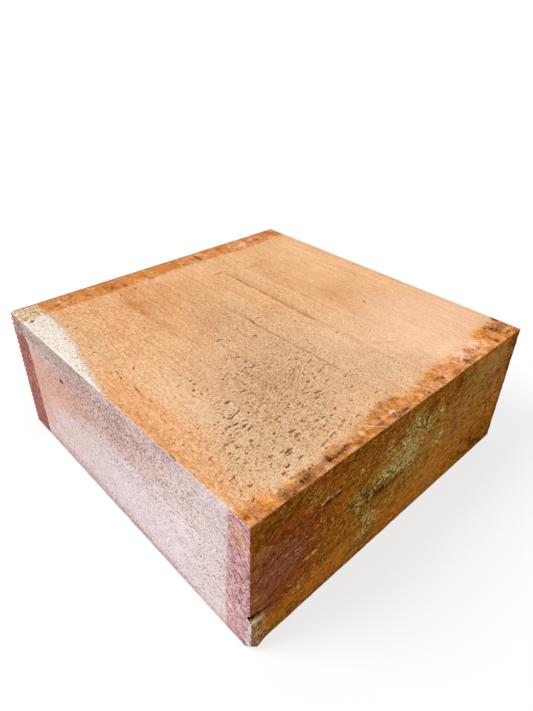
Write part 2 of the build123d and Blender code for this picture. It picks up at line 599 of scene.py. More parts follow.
               (-30, 27, 4, 4, 0.75), (-4, 58, 4, 4, 0.7), (-4, 41, 7, 3, 0.6), (6, 40, 7, 4, 0.5),
               (-17, 40, 4, 3, 0.4), (-27, 39, 3.5, 3, 0.5), (-20, 12, 60, 6, 0.12)),
        haze=((84, 69, 13, 7, 0.6), (66, 66, 12, 7, 0.55), (-93, 58, 8, 7, 0.45), (-12, 48, 18, 12, 0.5),
              (4, 58, 14, 16, 0.5), (-40, 60, 26, 3, 0.35), (28, 14, 20, 8, 0.5), (66, 34, 20, 12, 0.5),
              (-26, 20, 9, 10, 0.35), (-60, 20, 18, 5, 0.25), (-90, 72, 10, 3, 0.05),
              (-36, 42, 6, 9, 0.35), (20, 44, 16, 8, 0.3), (99, 68, 4, 9, -0.4),
              (-90, 20.5, 8, 2.5, 0.3)),
        rough=((30, 40, 80, 40, 0.26), (88, 70, 14, 8, 0.4), (52, 72, 14, 5, 0.5), (-67, 68, 5, 4, 0.9),
               (-36, 42, 7, 8, 1), (68, 56, 8, 7, 1), (-22, 46, 18, 9, 0.55), (14, 38, 16, 9, 0.5),
               (78, 50, 6, 4, 0.4), (14, 64, 14, 8, 0.5), (-10, 30, 24, 7, 0.5), (40, 62, 16, 10, 0.4),
               (-86, 70, 16, 5, 0.5)),
    ),
    Face.BACK_END: FaceLook(
        tone=((0, 40, 260, 160, -0.55), (-40, 62, 40, 16, -0.3), (40, 20, 50, 18, 0.25),
              (0, 77, 120, 6, -0.5)),
        warmth=((-88, 30, 20, 40, 1.4), (60, 60, 30, 20, 0.9), (20, 20, 36, 16, -0.6),
                (-30, 50, 24, 14, 0.7)),
        stain_and_shadow=((-30, 30, 8, 4, 0.8), (52, 52, 5, 7, 0.8), (10, 68, 6, 3, 0.7)),
        bloom=((-12, 40, 14, 8, 0.9), (30, 26, 7, 8, 0.9), (60, 62, 12, 6, 0.6), (-60, 18, 9, 5, 0.8),
               (76, 16, 6, 4, 0.8)),
        rough=((10, 50, 10, 6, 0.8), (-44, 66, 7, 5, 0.7)),
    ),
}

# Pits of the upper face that are large enough to tell apart: place across and along, length, width, turn
TOP_PITS = (
    (-90, -78.2, 2.2, 1, 30), (-88, -85.6, 2.6, 1, 0), (-72, -79.5, 3, 0.8, -5),
    (-64, -81.9, 4.4, 1.1, -3), (-65.4, -83.3, 4.2, 1, 2), (-70.6, -87.7, 3.4, 1.2, 10),
    (-74.4, -89.5, 2.6, 1.4, 15), (-63, -87.6, 3.4, 0.9, 0), (-55, -77.6, 4, 0.9, 0),
    (-42, -76.9, 3, 1, 0), (-34.6, -78.8, 2.2, 0.9, 10), (-41.8, -81.6, 2.4, 0.9, 0),
    (-44, -87.4, 4.6, 0.9, 8), (-50.5, -88.7, 6, 0.5, 10), (-37, -86, 3, 0.6, 0),
    (-32.8, -84.4, 1.6, 0.7, 40), (-26, -86.6, 3, 0.9, -3), (-6.4, -81.8, 2.6, 0.7, 0),
    (-20, -78, 2, 0.8, 0), (-33, -88.2, 2, 0.6, 25), (-74, -93.2, 2, 1, -10), (-72, -93.7, 2.2, 0.9, 5),
    (-70, -93.5, 1.6, 1.1, 20), (-67.8, -94, 2.2, 1, -5), (-65.4, -94.3, 2, 1.1, 10),
    (-63.4, -93.9, 1.3, 0.9, 0), (-65.2, -21.3, 2, 1.2, 0), (-68.4, -25, 2.6, 1.2, 50),
    (-71.2, -28.6, 1.8, 0.8, 5), (-67.6, -29.5, 1.4, 0.8, 0), (-63.5, -28.8, 1.8, 0.6, 20),
    (-50.8, -25.6, 1.4, 1, 0), (-53, -27, 2, 0.8, -5), (-45.4, -28.6, 1.2, 1.1, 0),
    (-34.8, -23, 2.6, 0.8, 20), (-38.8, -27, 2.2, 0.9, 15), (-35.6, -28.7, 3.8, 0.9, 0),
    (-32.6, -29.8, 2, 0.7, -10), (-41, -31.8, 2, 0.8, 10), (-36.8, -34, 2, 0.7, 40),
    (-30.6, -34.4, 1.4, 0.9, -20), (-42.4, -36.2, 1.4, 0.9, 10), (-66, -39.3, 5, 0.6, -3),
    (-62.6, -41.9, 3.2, 1.6, 10), (-52, -40.3, 4, 0.6, 0), (-50, -43.9, 2.2, 0.9, -10),
    (-40.8, -44, 1.2, 0.9, 30), (-83, -47.2, 2.2, 0.8, 0), (-70.5, -48.9, 1.8, 1, 20),
    (-76.4, -50.2, 1.2, 1, 0), (-68.4, -51.3, 3.4, 1.1, 0), (-64.8, -50.4, 5.5, 0.8, 12),
    (-56, -48.4, 1.6, 0.7, 30), (-39.2, -48.8, 2, 1.1, -5), (-60.4, -53.6, 2, 1, 50),
    (-54, -53.8, 1.6, 0.8, 20), (-73.4, -55, 4, 1.1, -5), (-69.6, -55.6, 3.4, 0.9, 0),
    (-65, -56.6, 2.6, 0.7, -15), (-71.5, -58, 2, 0.8, -20), (-68, -59.1, 3.6, 0.9, 8),
    (-75.6, -59.4, 1.8, 1, 10), (-76.8, -60.9, 1.4, 1.1, 0), (-66.5, -61.6, 4, 0.9, 5),
    (-80, -62.7, 3.4, 0.7, -3), (-77.5, -63, 2.4, 0.9, 0), (-90.5, -64.6, 3, 0.8, 10),
    (-78.6, -66.7, 2.2, 1, -5), (-71.6, -67.6, 2.2, 1, 20), (-60.2, -64.7, 1.4, 0.9, 0),
    (-49, -64.3, 1.6, 0.9, 0), (-77.8, -71.9, 1.8, 1.1, -10), (-82.4, -71.8, 2.6, 0.7, 0),
    (-71.5, -71.9, 2, 0.7, 0), (-61.5, -70.7, 2, 0.7, 20), (-54.6, -74.6, 4.4, 1.1, -8),
    (-43.2, -56.6, 1.8, 1, 0), (-45.6, -57.6, 1.4, 0.8, 15), (-39.4, -56.6, 1.6, 0.8, 40),
    (-43, -61, 2.2, 0.9, -5), (-44.8, -62.6, 1.4, 0.9, 40), (-39.6, -66.2, 2, 0.7, 20),
    (-23.8, -55.1, 3.4, 1, 8), (-19.4, -55, 2.2, 0.7, 35), (-30.9, -60.7, 2.4, 1.2, 0),
    (-25.8, -59.4, 1.6, 0.9, -20), (-16.4, -60.6, 3, 0.9, 3), (-26.6, -63.6, 4.2, 1.2, 0),
    (-30.2, -66.4, 3.6, 1, -5), (-26.2, -66.2, 1.6, 1, 0), (-21.2, -69.8, 1.2, 0.9, 0),
    (-11.6, -71.3, 2.2, 1, 0), (-10.8, -43.8, 3.8, 1, 20), (-9.2, -34.8, 1.8, 1.1, 0),
    (-17, -36.2, 2, 0.8, 0), (-14.6, -38.2, 1.6, 0.7, 20), (-18.8, -43.6, 1.6, 0.8, 0),
    (-12, -52.4, 1.6, 0.9, 30), (-17.6, -52, 1.4, 0.9, 0), (-7.4, -64.1, 1.6, 1.2, 10),
    (-35.2, -17.4, 2.4, 0.9, -10), (-51.1, -8.1, 1.4, 0.9, -6), (-65.1, -18, 2.4, 0.9, 10),
    (-15, -8.1, 2.8, 1.4, -10), (-32.4, 0.6, 4.2, 0.9, -6), (-5.6, 4, 5.4, 0.9, 72),
    (12.6, -11.4, 2, 1.4, 80), (60.6, -22.6, 2.8, 1.1, 50), (-79.4, 8, 3, 1, 65),
    (-87, 10.6, 3.2, 0.9, 84), (-88, 5, 2.2, 0.9, 60), (-86.5, 33.2, 1.8, 1, -60),
    (-87.5, -8, 4.2, 0.8, 84), (-87.2, -18.6, 2.4, 0.9, 82), (-54.5, 36.8, 1.8, 0.8, 60),
    (-43.8, 78.6, 3, 1, 75), (-31.6, 81.2, 2.2, 0.9, 80), (-84.6, 65, 2, 1, 30),
    (-82.4, 60.6, 2.4, 1, 20), (3.2, -29.6, 2, 0.9, 0),
)

SINGLE_MARKS = (
    Mark(Face.TOP, (-101.0, -54.6), 4.4, 1.6, 0.9, 86),
    Mark(Face.TOP, (-101.2, -95.0), 7.0, 1.0, 0.4, 88),
    Mark(Face.TOP, (101.2, -22.0), 3.0, 1.2, 0.6, 90),
    Mark(Face.TOP, (24.0, -95.0), 5.0, 1.0, 0.5, 2),
    Mark(Face.TOP, (52.0, -97.3), 14.0, 0.8, 0.4, 1),
    Mark(Face.TOP, (-45.0, -96.6), 3.6, 1.2, 0.5, 6),
    Mark(Face.TOP, (-13.5, -97.8), 3.0, 1.4, 0.5, -10),
    Mark(Face.TOP, (95.6, -91.0), 9.0, 0.9, 0.4, 2),
    Mark(Face.LEFT_SIDE, (46.2, 59.2), 3.0, 2.0, 0.9, -30),
    Mark(Face.LEFT_SIDE, (-54.6, 77.2), 4.0, 1.8, 0.9, 0),
    Mark(Face.LEFT_SIDE, (-48.6, 35.8), 2.0, 1.0, 0.5, 40),
    Mark(Face.LEFT_SIDE, (-13.2, 31.8), 1.6, 1.0, 0.4, 30),
    Mark(Face.RIGHT_SIDE, (24.0, 22.0), 3.6, 1.6, 0.6, 20),
    Mark(Face.FRONT_END, (-57.5, 58.2), 13.0, 1.0, 0.9, -6),
    Mark(Face.FRONT_END, (-51.0, 57.8), 4.0, 1.3, 0.9, 8),
    Mark(Face.FRONT_END, (-18.6, 37.8), 4.6, 1.6, 0.7, 10),
    Mark(Face.FRONT_END, (-23.4, 39.4), 3.0, 1.3, 0.6, 60),
    Mark(Face.FRONT_END, (-94.4, 3.6), 2.2, 1.2, 1.0, 80),
    Mark(Face.FRONT_END, (-57.2, 20.2), 4.4, 0.9, 0.6, -62),
    Mark(Face.FRONT_END, (18.4, 69.0), 3.4, 1.2, 0.5, 60),
    Mark(Face.FRONT_END, (13.0, 62.0), 4.0, 1.1, 0.5, 75),
    Mark(Face.FRONT_END, (-2.0, 36.6), 4.0, 1.2, 0.5, -10),
    Mark(Face.BACK_END, (20.0, 30.0), 16.0, 0.8, 0.8, 24),
)

PIT_FIELDS = (
    PitField((-72, -54), (9, 8), 16, 2.6),
    PitField((-48, -40), (18, 14), 28, 2.2),
    PitField((-30, -58), (10, 7), 14, 2.4),
    PitField((-36, -22), (16, 9), 18, 2.2),
    PitField((-62, -80), (20, 7), 22, 2.6),
    PitField((-86, -78), (6, 8), 10, 2.4),
    PitField((-12, -50), (10, 20), 14, 2.0),
    PitField((-22, 2), (12, 14), 14, 2.2),
    PitField((36, -36), (8, 5), 8, 2.4),
    PitField((44, 44), (12, 5), 8, 2.6, 5.0),
)

GROWTH_LINES = (
    Line((22.6, 64.5), (22.3, -20.7), 1.4, 0.85),
    Line((23.6, 64.0), (24.0, -10.0), 3.6, 0.25),
    Line((22.6, -20.0), (23.6, -88.0), 1.3, 0.26),
    Line((14.5, 65.6), (28.0, 62.6), 1.5, 0.85),
    Line((27.0, 63.0), (52.5, 56.6), 1.9, 0.32),
    Line((-6.4, 13.6), (-5.4, -63.0), 0.95, 0.66),
    Line((-6.0, -60.0), (-5.0, -86.0), 1.1, 0.28),
    Line((-6.0, 9.0), (-8.0, -5.6), 0.8, 0.8),
    Line((-44.8, 81.5), (-46.4, 24.0), 0.8, 0.5),
    Line((-32.4, 82.0), (-36.5, 34.0), 1.4, 0.22),
    Line((-66.0, 3.4), (-66.6, -14.6), 0.9, 0.34),
    Line((-3.4, 17.6), (5.4, 17.8), 1.6, 0.26),
    Line((6.0, 16.4), (2.6, -5.0), 1.5, 0.3),
    Line((40.6, 26.0), (41.4, 2.0), 1.3, 0.24),
    Line((40.6, 46.6), (46.0, 41.0), 1.1, 0.5),
    Line((45.0, 40.6), (51.0, 38.6), 1.0, 0.45),
    Line((49.4, 41.0), (54.0, 36.6), 1.1, 0.5),
    Line((43.0, 38.0), (47.0, 36.2), 0.9, 0.4),
    Line((57.4, 1.6), (53.6, -8.4), 1.8, 0.36),
    Line((61.8, -21.0), (58.6, -23.6), 0.8, 0.7),
    Line((24.6, -52.6), (37.4, -61.4), 1.7, 0.3),
    Line((-18.0, -44.6), (-4.0, -52.0), 1.6, 0.22),
)


@dataclass(frozen=True)
class PlanedFace:
    """The planed upper face: bare tan heartwood, a wedge of cream sapwood and orange waxed ends."""

    tan: Tint = ((0.62, 0.228, 0.060), (0.99, 0.64, 0.37))
    orange: Tint = ((0.60, 0.20, 0.050), (0.99, 0.545, 0.27))
    pale: Tint = ((0.70, 0.345, 0.155), (0.98, 0.655, 0.44))
    sapwood: Tint = ((0.50, 0.27, 0.10), (0.95, 0.875, 0.775))
    wax: Tint = ((0.34, 0.072, 0.006), (0.99, 0.385, 0.072))
    rosy_wax: Tint = ((0.38, 0.12, 0.055), (0.94, 0.46, 0.23))
    torn_wax: Tint = ((0.50, 0.21, 0.10), (0.97, 0.70, 0.48))
    waxed_sapwood: Tint = ((0.22, 0.085, 0.015), (0.99, 0.78, 0.50))
    pit: Colour = (0.52, 0.225, 0.018)
    pit_right: Colour = (0.50, 0.175, 0.035)
    fleck: Colour = (0.60, 0.25, 0.050)
    # The cream of a painted highlight, laid on the brightest grain and round the edges of pits.
    painted_highlight: Colour = (0.99, 0.72, 0.46)
    # Pale frayed fibre, and the colour of the painted highlights that the torn mask carries.
    fray_and_highlight: Colour = (0.97, 0.80, 0.68)
    line: Colour = (0.42, 0.165, 0.035)
    rim: Colour = (0.26, 0.13, 0.030)
    smudge: Colour = (0.31, 0.14, 0.075)
    dirt: Colour = (0.060, 0.026, 0.014)
    gloss: float = 0.0

    def dress(self, name: str) -> bpy.types.Material:
        """Makes the finish.

        Args:
            name: The material's name.

        Returns:
            The material.
        """
        w = Wiring(name, self.gloss)
        cloud = w.grain((0.06, 0.045, 0.06))
        streaks = w.grain((0.40, 0.012, 0.40), 3.0, 0.6)
        fibres = w.grain((2.0, 0.13, 2.0), 2.0, 0.6, 0.0, (0.0, 0.0, 3.0))
        curls = w.grain((1.25, 0.50, 1.25), 2.0, 0.6, 1.0, (0.0, 0.0, -6.0))
        pebble = w.grain((0.66, 1.7, 1.0), 2.0, 0.65, 0.5, (0.0, 0.0, -3.0))
        rough = w.mask("rough")
        smooth = w.ease(w.axis(0), 20.0, 60.0, 1.0, 0.62)
        curled = w.ease(w.axis(0), -42.0, -74.0, 0.0, 0.12)

        shade = w.add(0.58, (w.mask("tone"), 0.42), (cloud, 0.06), (streaks, 0.09),
                      (fibres, smooth, w.ease(rough, 0.0, 1.2, 0.10, 0.05)),
                      (curls, smooth, w.add(0.18, curled)), (pebble, w.add(0.08, (rough, 0.28))),
                      (rough, 0.34))
        warmth = w.add(w.mask("warmth"), (streaks, 0.13), (cloud, 0.10))
        tint = w.mix_tints(w.ease(warmth, 0.05, 1.0), self.tan, self.orange)
        tint = w.mix_tints(w.ease(warmth, -0.05, -0.9), tint, self.pale)
        # The lightest shades of the grain turn to the cream of a painted highlight.
        colour = w.blend(w.ease(shade, 0.92, 1.45, 0.0, 0.85), w.ramp(shade, tint), self.painted_highlight)
        colour = w.blend(w.times(self.draw_lines(w, curls), 0.92), colour, self.line)
        torn_share = w.ease(w.add(rough, (cloud, 0.16)), 0.25, 1.2)
        pits = w.maths("MAXIMUM", w.pits((0.27, 0.92, 0.6), w.times(torn_share, 0.50), (0.0, 0.0, -1.0)),
                       w.pits((0.48, 1.30, 0.9), w.times(torn_share, 0.70), (0.0, 0.0, -7.0)))
        # A painted highlight rings each small pit.
        colour = w.blend(w.ease(pits, 0.0, 0.25, 0.0, 0.35), colour, self.painted_highlight)
        colour = w.blend(w.ease(pits, 0.2, 0.6, 0.0, 0.85), colour, self.fleck)
        # Pale frayed fibre, with the painted highlights on the pits' front lips.
        fray_and_highlight_share = w.ease(w.add(w.mask("torn"), (pebble, 0.22), (curls, 0.10)), 0.35, 0.95, 0.0, 0.85)
        colour = w.blend(fray_and_highlight_share, colour, self.fray_and_highlight)

        fine = w.grain((1.5, 0.9, 1.5), 2.0, 0.6, 0.8, (0.0, 0.0, -25.0))
        sapwood = w.mask("sapwood")
        sap_edge = w.add(sapwood, (fine, 1.2), (pebble, 0.8), (cloud, 0.5))
        in_sapwood = w.ease(sap_edge, -0.8, 0.8)
        speck = w.ease(w.add(fine, (curls, 0.5)), 0.25, 1.3)
        specks = w.add(1.0, (cloud, 0.04), (speck, w.ease(sapwood, 0.0, 6.0, -1.25, -0.75)))
        colour = w.blend(in_sapwood, colour, w.ramp(specks, self.sapwood))

        teeth = w.grain((1.1, 0.05, 1.1), 2.0, 0.6)
        at_front = w.ease(w.axis(1), 30.0, -30.0)
        wax_edge = w.add(w.mask("wax"), (teeth, w.add(0.22, (at_front, 0.10))), (pebble, 0.40),
                         (w.grain((0.20, 0.22, 0.20), 3.0, 0.65), w.add(0.5, (at_front, 0.5))))
        soft = w.add(1.0, (at_front, 0.9))
        in_wax = w.ease(w.maths("DIVIDE", wax_edge, soft), -1.2, 1.2)
        mottle = w.grain((0.15, 0.12, 0.15), 3.0, 0.65, 0.4)
        scraps = w.grain((0.50, 0.42, 0.55), 3.0, 0.65, 0.8)
        wax_shade = w.add(0.60, (w.mask("tone"), 0.4), (mottle, w.add(0.14, (at_front, 0.10))),
                          (fibres, 0.08), (scraps, w.add(0.13, (at_front, 0.09))), (curls, 0.10),
                          (pebble, 0.10))
        bloom = w.add(w.mask("bloom"), (mottle, 0.16), (scraps, 0.20), (curls, 0.12))
        blotches = w.grain((0.11, 0.14, 0.11), 3.0, 0.6, 0.3, (0.0, 0.0, 40.0))
        rosy = w.ease(w.add((blotches, 0.5), (scraps, 0.35), (bloom, 0.6)), -0.35, 0.9)
        plainer = w.times(at_front, w.ease(w.axis(0), 40.0, 75.0), -0.45)
        wax_tint = w.mix_tints(w.times(rosy, w.add(0.8, plainer)), self.wax, self.rosy_wax)
        waxed = w.ramp(wax_shade, w.mix_tints(w.ease(bloom, 0.20, 0.85), wax_tint, self.torn_wax))
        waxed_speck = w.add(0.70, (fine, -0.42), (curls, 0.22), (scraps, 0.30))
        waxed = w.blend(w.times(in_sapwood, 0.92), waxed, w.ramp(waxed_speck, self.waxed_sapwood))
        colour = w.blend(w.times(in_wax, 0.95), colour, waxed)

        stain_and_shadow = w.mask("stain_and_shadow")
        spotty = w.add((pebble, 0.26), (curls, 0.22), (scraps, 0.18))
        dirt_edge = w.add((stain_and_shadow, 1.15), (spotty, w.ease(stain_and_shadow, 0.04, 0.30)))
        colour = w.blend(w.ease(dirt_edge, 0.16, 0.62, 0.0, 0.75), colour, self.smudge)
        dirt = w.ease(dirt_edge, 0.50, 1.0, 0.0, 0.93)
        colour = w.blend(dirt, colour, self.dirt)
        hollow = w.times(w.mask("hollow"), w.add(1.0, (pebble, 0.35)))
        # A painted highlight rings the edge of each modelled pit.
        colour = w.blend(w.ease(hollow, 0.01, 0.08, 0.0, 0.4), colour, self.painted_highlight)
        # The pits darken toward their bottoms: the torn wood's darker brown, deepened by painted shade.
        pit = w.blend(w.ease(w.axis(0), -66.0, -46.0), self.pit, self.pit_right)
        colour = w.blend(w.ease(hollow, 0.10, 0.45, 0.0, 0.95), colour, pit)
        rim_strength = w.ease(w.axis(0), -20.0, 40.0, 0.88, 0.5)
        rim = w.times(w.ease(w.add(w.axis(1), (pebble, 0.3), (scraps, 0.4)), 99.0, 100.6), rim_strength)
        colour = w.blend(rim, colour, self.rim)

        roughness = w.add(0.70, (pebble, 0.05), (in_wax, -0.22))
        height = w.add((fibres, 0.016), (curls, w.add(0.03, (rough, 0.04))),
                       (pebble, w.add(0.03, (rough, 0.12))), (pits, -0.28), (dirt, -0.06))
        return w.finish(colour, roughness, height)

    @staticmethod
    def draw_lines(w: Wiring, ragged: Socket) -> Socket:
        """Draws the thin dark growth lines and the scuffs.

        Args:
            w: The material's wiring.
            ragged: The short noise that makes the lines uneven.

        Returns:
            How strongly a line shows, from 0 to 1.
        """
        place = w.position()
        wander = w.times(w.grain((0.07, 0.07, 0.07), 3.0, 0.6), 0.62)
        uneven = w.ease(w.add(ragged, w.grain((0.14, 0.14, 0.14), 2.0)), -2.2, 0.6, 0.3, 1.0)
        shown = 0.0
        for mark in GROWTH_LINES:
            shown = w.maths("MAXIMUM", w.line(place, mark, wander), shown)
        return w.times(shown, uneven)


@dataclass(frozen=True)
class SawnFace:
    """A face ripped along the grain: fuzzy, full of open pores, with waxed ends that are still rough."""

    pale: Tint = ((0.45, 0.285, 0.27), (0.95, 0.84, 0.845))
    speckled: Tint = ((0.34, 0.175, 0.14), (0.88, 0.67, 0.61))
    peach: Tint = ((0.47, 0.21, 0.15), (0.88, 0.575, 0.475))
    sapwood: Tint = ((0.27, 0.165, 0.125), (0.78, 0.66, 0.60))
    wax_back: Tint = ((0.18, 0.038, 0.030), (0.48, 0.138, 0.108))
    wax_front: Tint = ((0.31, 0.10, 0.115), (0.87, 0.54, 0.55))
    wax_orange: Tint = ((0.44, 0.155, 0.085), (0.92, 0.55, 0.36))
    # Pale frayed fibre, and the colour of the painted highlights on the rounded arrises and beside the black
    # speck.
    fray_and_highlight: Colour = (0.86, 0.79, 0.84)
    pore: Colour = (0.30, 0.165, 0.15)
    # Near-black of the specks, and of the painted shadow line along the bottom arris.
    dirt: Colour = (0.040, 0.034, 0.060)
    saw_lines: float = 0.02
    gloss: float = 0.04

    def dress(self, name: str) -> bpy.types.Material:
        """Makes the finish.

        Args:
            name: The material's name.

        Returns:
            The material.
        """
        w = Wiring(name, self.gloss)
        cloud = w.grain((0.06, 0.035, 0.06))
        streaks = w.grain((0.30, 0.03, 0.30), 3.0, 0.6)
        speckle = w.grain((1.15, 0.95, 1.15), 2.0, 0.65)
        fluff = w.grain((0.42, 0.26, 0.42), 3.0, 0.65, 0.4)
        slanting = w.grain((1.0, 0.95, 0.26), 3.0, 0.65, 0.5, (32.0, 0.0, 0.0))
        rough = w.mask("rough")

        shade = w.add(0.57, (w.mask("tone"), 0.36), (cloud, 0.05), (streaks, 0.05),
                      (fluff, w.add(0.03, (rough, 0.07))), (slanting, 0.06),
                      (speckle, w.add(0.15, (rough, 0.24))))
        tint = w.mix_tints(w.ease(w.add(rough, (fluff, 0.10)), 0.1, 1.0), self.pale, self.speckled)
        warmth = w.add(w.mask("warmth"), (fluff, 0.16), (cloud, 0.12))
        tint = w.mix_tints(w.ease(warmth, 0.1, 1.0), tint, self.peach)
        in_sapwood = w.ease(w.add(w.mask("sapwood"), (fluff, 2.2), (speckle, 0.9)), -2.2, 2.2)
        colour = w.ramp(shade, w.mix_tints(w.times(in_sapwood, 0.92), tint, self.sapwood))
        pores = w.pits((0.72, 0.60, 0.72), w.add(0.34, (rough, 0.41)))
        colour = w.blend(w.times(pores, 0.7), colour, self.pore)

        in_wax = w.ease(w.add(w.mask("wax"), (fluff, 0.25), (speckle, 0.28)), -0.55, 0.45)
        warm_wax = w.ease(w.add(w.mask("warmth"), (slanting, 0.30), (fluff, 0.14)), 0.25, 0.95)
        wax_shade = w.add(0.47, (w.mask("tone"), 0.3), (slanting, 0.30),
                          (speckle, w.add(0.26, (rough, 0.26))), (fluff, 0.14))
        at_back = w.ease(w.axis(1), -10.0, 10.0)
        front_tint = w.mix_tints(w.times(warm_wax, 0.85), self.wax_front, self.wax_orange)
        back_tint = w.mix_tints(w.times(warm_wax, 0.4), self.wax_back, self.wax_orange)
        back_tint = w.mix_tints(w.times(in_sapwood, 0.6), back_tint, self.sapwood)
        waxed = w.ramp(wax_shade, w.mix_tints(at_back, front_tint, back_tint))
        colour = w.blend(w.times(in_wax, 0.94), colour, waxed)

        # Pale frayed fibre, with painted highlights on the rounded arrises and beside the black speck.
        fray_and_highlight_share = w.ease(w.add(w.mask("torn"), (slanting, 0.26), (speckle, 0.22)), 0.42, 0.85, 0.0, 0.9)
        colour = w.blend(fray_and_highlight_share, colour, self.fray_and_highlight)
        # Dark specks from the stain mask, and the painted shadow line along the bottom arris.
        dirt_edge = w.add(w.mask("stain_and_shadow"), (speckle, 0.2))
        colour = w.blend(w.ease(dirt_edge, 0.5, 0.9, 0.0, 0.95), colour, self.dirt)
        # The marks' hollows take the pore colour, strengthened with depth as painted shade.
        colour = w.blend(w.ease(w.mask("hollow"), 0.1, 0.8, 0.0, 0.7), colour, self.pore)

        roughness = w.add(0.80, (speckle, 0.04), (in_wax, -0.2))
        bands = {"Vector": w.position((0.0, 0.42, 0.02)), "Scale": 1.0, "Distortion": 0.6}
        saw = w.node("ShaderNodeTexWave", bands, bands_direction="Y").outputs["Fac"]
        height = w.add((speckle, w.add(0.06, (rough, 0.04))), (fluff, 0.05), (pores, -0.14),
                       (slanting, 0.03), (fray_and_highlight_share, 0.12), (saw, self.saw_lines))
        return w.finish(colour, roughness, height)


@dataclass(frozen=True)
class WaxedEnd:
    """An end-grain face under a brushed coat of wax: dark brown, with crusts where the wax lies thick."""

    brown: Tint = ((0.155, 0.042, 0.002), (0.99, 0.36, 0.030))
    red: Tint = ((0.125, 0.020, 0.002), (0.64, 0.14, 0.020))
    plum: Tint = ((0.12, 0.030, 0.008), (0.54, 0.185, 0.078))
    tan: Tint = ((0.22, 0.072, 0.012), (0.86, 0.40, 0.13))
    olive: Tint = ((0.085, 0.036, 0.003), (0.86, 0.445, 0.062))
    crust: Tint = ((0.16, 0.066, 0.005), (1.0, 0.725, 0.222))
    haze: Colour = (0.52, 0.28, 0.085)
    raw: Tint = ((0.13, 0.045, 0.010), (0.92, 0.52, 0.24))
    # The pale torn fibre along the spur's ledge, with a painted highlight where the ledge faces up.
    fray_and_highlight: Colour = (0.99, 0.77, 0.46)
    dirt: Colour = (0.055, 0.027, 0.001)
    # Near-black painted shadow for the crevice over the spur's ledge and the marks' hollows.
    crevice: Colour = (0.008, 0.002, 0.001)
    heart: tuple[float, float] = (30.0, -83.0)
    gloss: float = 0.0

    def dress(self, name: str) -> bpy.types.Material:
        """Makes the finish.

        Args:
            name: The material's name.

        Returns:
            The material.
        """
        w = Wiring(name, self.gloss)
        broad = w.grain((0.022, 0.022, 0.03), 3.0, 0.6, 0.6)
        brushed = w.times(w.ease(w.axis(0), 16.0, 50.0, 1.0, 0.75),
                          w.ease(w.axis(0), -72.0, -88.0, 1.0, 0.6))
        brush = w.times(w.grain((0.085, 0.2, 0.30), 4.0, 0.65, 0.8, (0.0, 14.0, 0.0)), brushed)
        mottle = w.times(w.grain((0.16, 0.16, 0.17), 3.0, 0.6, 0.3), w.ease(w.axis(0), 20.0, 52.0))
        strokes = w.grain((0.42, 0.5, 1.15), 3.0, 0.65, 0.5, (0.0, 16.0, 0.0))
        lumps = w.grain((0.36, 0.36, 0.42), 3.0, 0.65, 0.3)
        grit = w.grain((1.2, 1.2, 1.2), 2.0, 0.7)
        rings = self.rings(w)

        threads = w.times(w.grain((0.06, 0.5, 0.75), 3.0, 0.65, 1.0, (0.0, 14.0, 0.0)), brushed)
        bloom = w.mask("bloom")
        near_crust = w.ease(w.add(bloom, (brush, 0.20), (lumps, 0.10)), 0.04, 0.60)
        uneven = w.add((lumps, 0.44), (strokes, 0.22), (grit, 0.12))
        thick = w.ease(w.add(bloom, (uneven, w.ease(bloom, 0.0, 0.3, 0.4, 1.0))), 0.42, 1.10)
        veins = w.ease(w.maths("ABSOLUTE", w.add(lumps, (grit, 0.35))), 0.30, 0.0)

        shade = w.add(0.46, (w.mask("tone"), 0.36), (broad, 0.10), (brush, 0.20), (threads, 0.14),
                      (strokes, brushed, 0.19), (lumps, 0.13), (rings, 0.06), (mottle, 0.09),
                      (grit, brushed, w.add(0.20, (near_crust, 0.20))), (near_crust, -0.02),
                      (strokes, near_crust, 0.14))
        warmth = w.add(w.mask("warmth"), (brush, 0.50), (broad, 0.3), (threads, 0.30), (strokes, 0.14),
                       (mottle, -0.25))
        tint = w.mix_tints(w.ease(warmth, 0.1, 0.75), self.brown, self.red)
        tint = w.mix_tints(w.ease(warmth, 0.8, 1.5), tint, self.plum)
        tint = w.mix_tints(w.ease(warmth, -0.2, -0.95), tint, self.tan)
        olive = w.add(w.mask("rough"), (near_crust, 0.42), (lumps, 0.16), (brush, 0.20), (threads, -0.20))
        tint = w.mix_tints(w.ease(olive, 0.30, 0.95), tint, self.olive)
        pores = w.times(w.pits((0.8, 0.8, 0.8), 0.42), brushed)
        colour = w.blend(w.times(pores, 0.5), w.ramp(shade, tint), self.dirt)
        haze = w.add(w.mask("haze"), (lumps, 0.22), (strokes, 0.26), (broad, 0.14))
        colour = w.blend(w.ease(haze, 0.15, 1.2, 0.0, 0.72), colour, self.haze)
        crust_shade = w.add(0.83, (grit, 0.48), (strokes, 0.42), (lumps, 0.24), (veins, -0.40))
        colour = w.blend(w.times(thick, 0.92), colour, w.ramp(crust_shade, self.crust))
        specks = w.ease(w.add(grit, (bloom, 0.8), (strokes, 0.6)), 1.7, 2.4, 0.0, 0.6)
        colour = w.blend(w.times(specks, brushed), colour, self.crust[1])

        dirt_edge = w.add(w.mask("stain_and_shadow"), (grit, 0.26), (lumps, 0.18))
        colour = w.blend(w.ease(dirt_edge, 0.45, 1.0, 0.0, 0.9), colour, self.dirt)
        torn = w.mask("torn")
        raw_shade = w.add(0.42, (strokes, 0.30), (grit, 0.28), (lumps, 0.16))
        in_raw = w.ease(w.add(torn, (strokes, 0.22), (lumps, 0.16), (grit, 0.10)), 0.25, 0.75)
        colour = w.blend(in_raw, colour, w.ramp(raw_shade, self.raw))
        # The ledge's pale line: torn fibre, with a painted highlight where the ledge faces up.
        colour = w.blend(w.ease(w.add(torn, (grit, 0.10)), 0.95, 1.35), colour, self.fray_and_highlight)
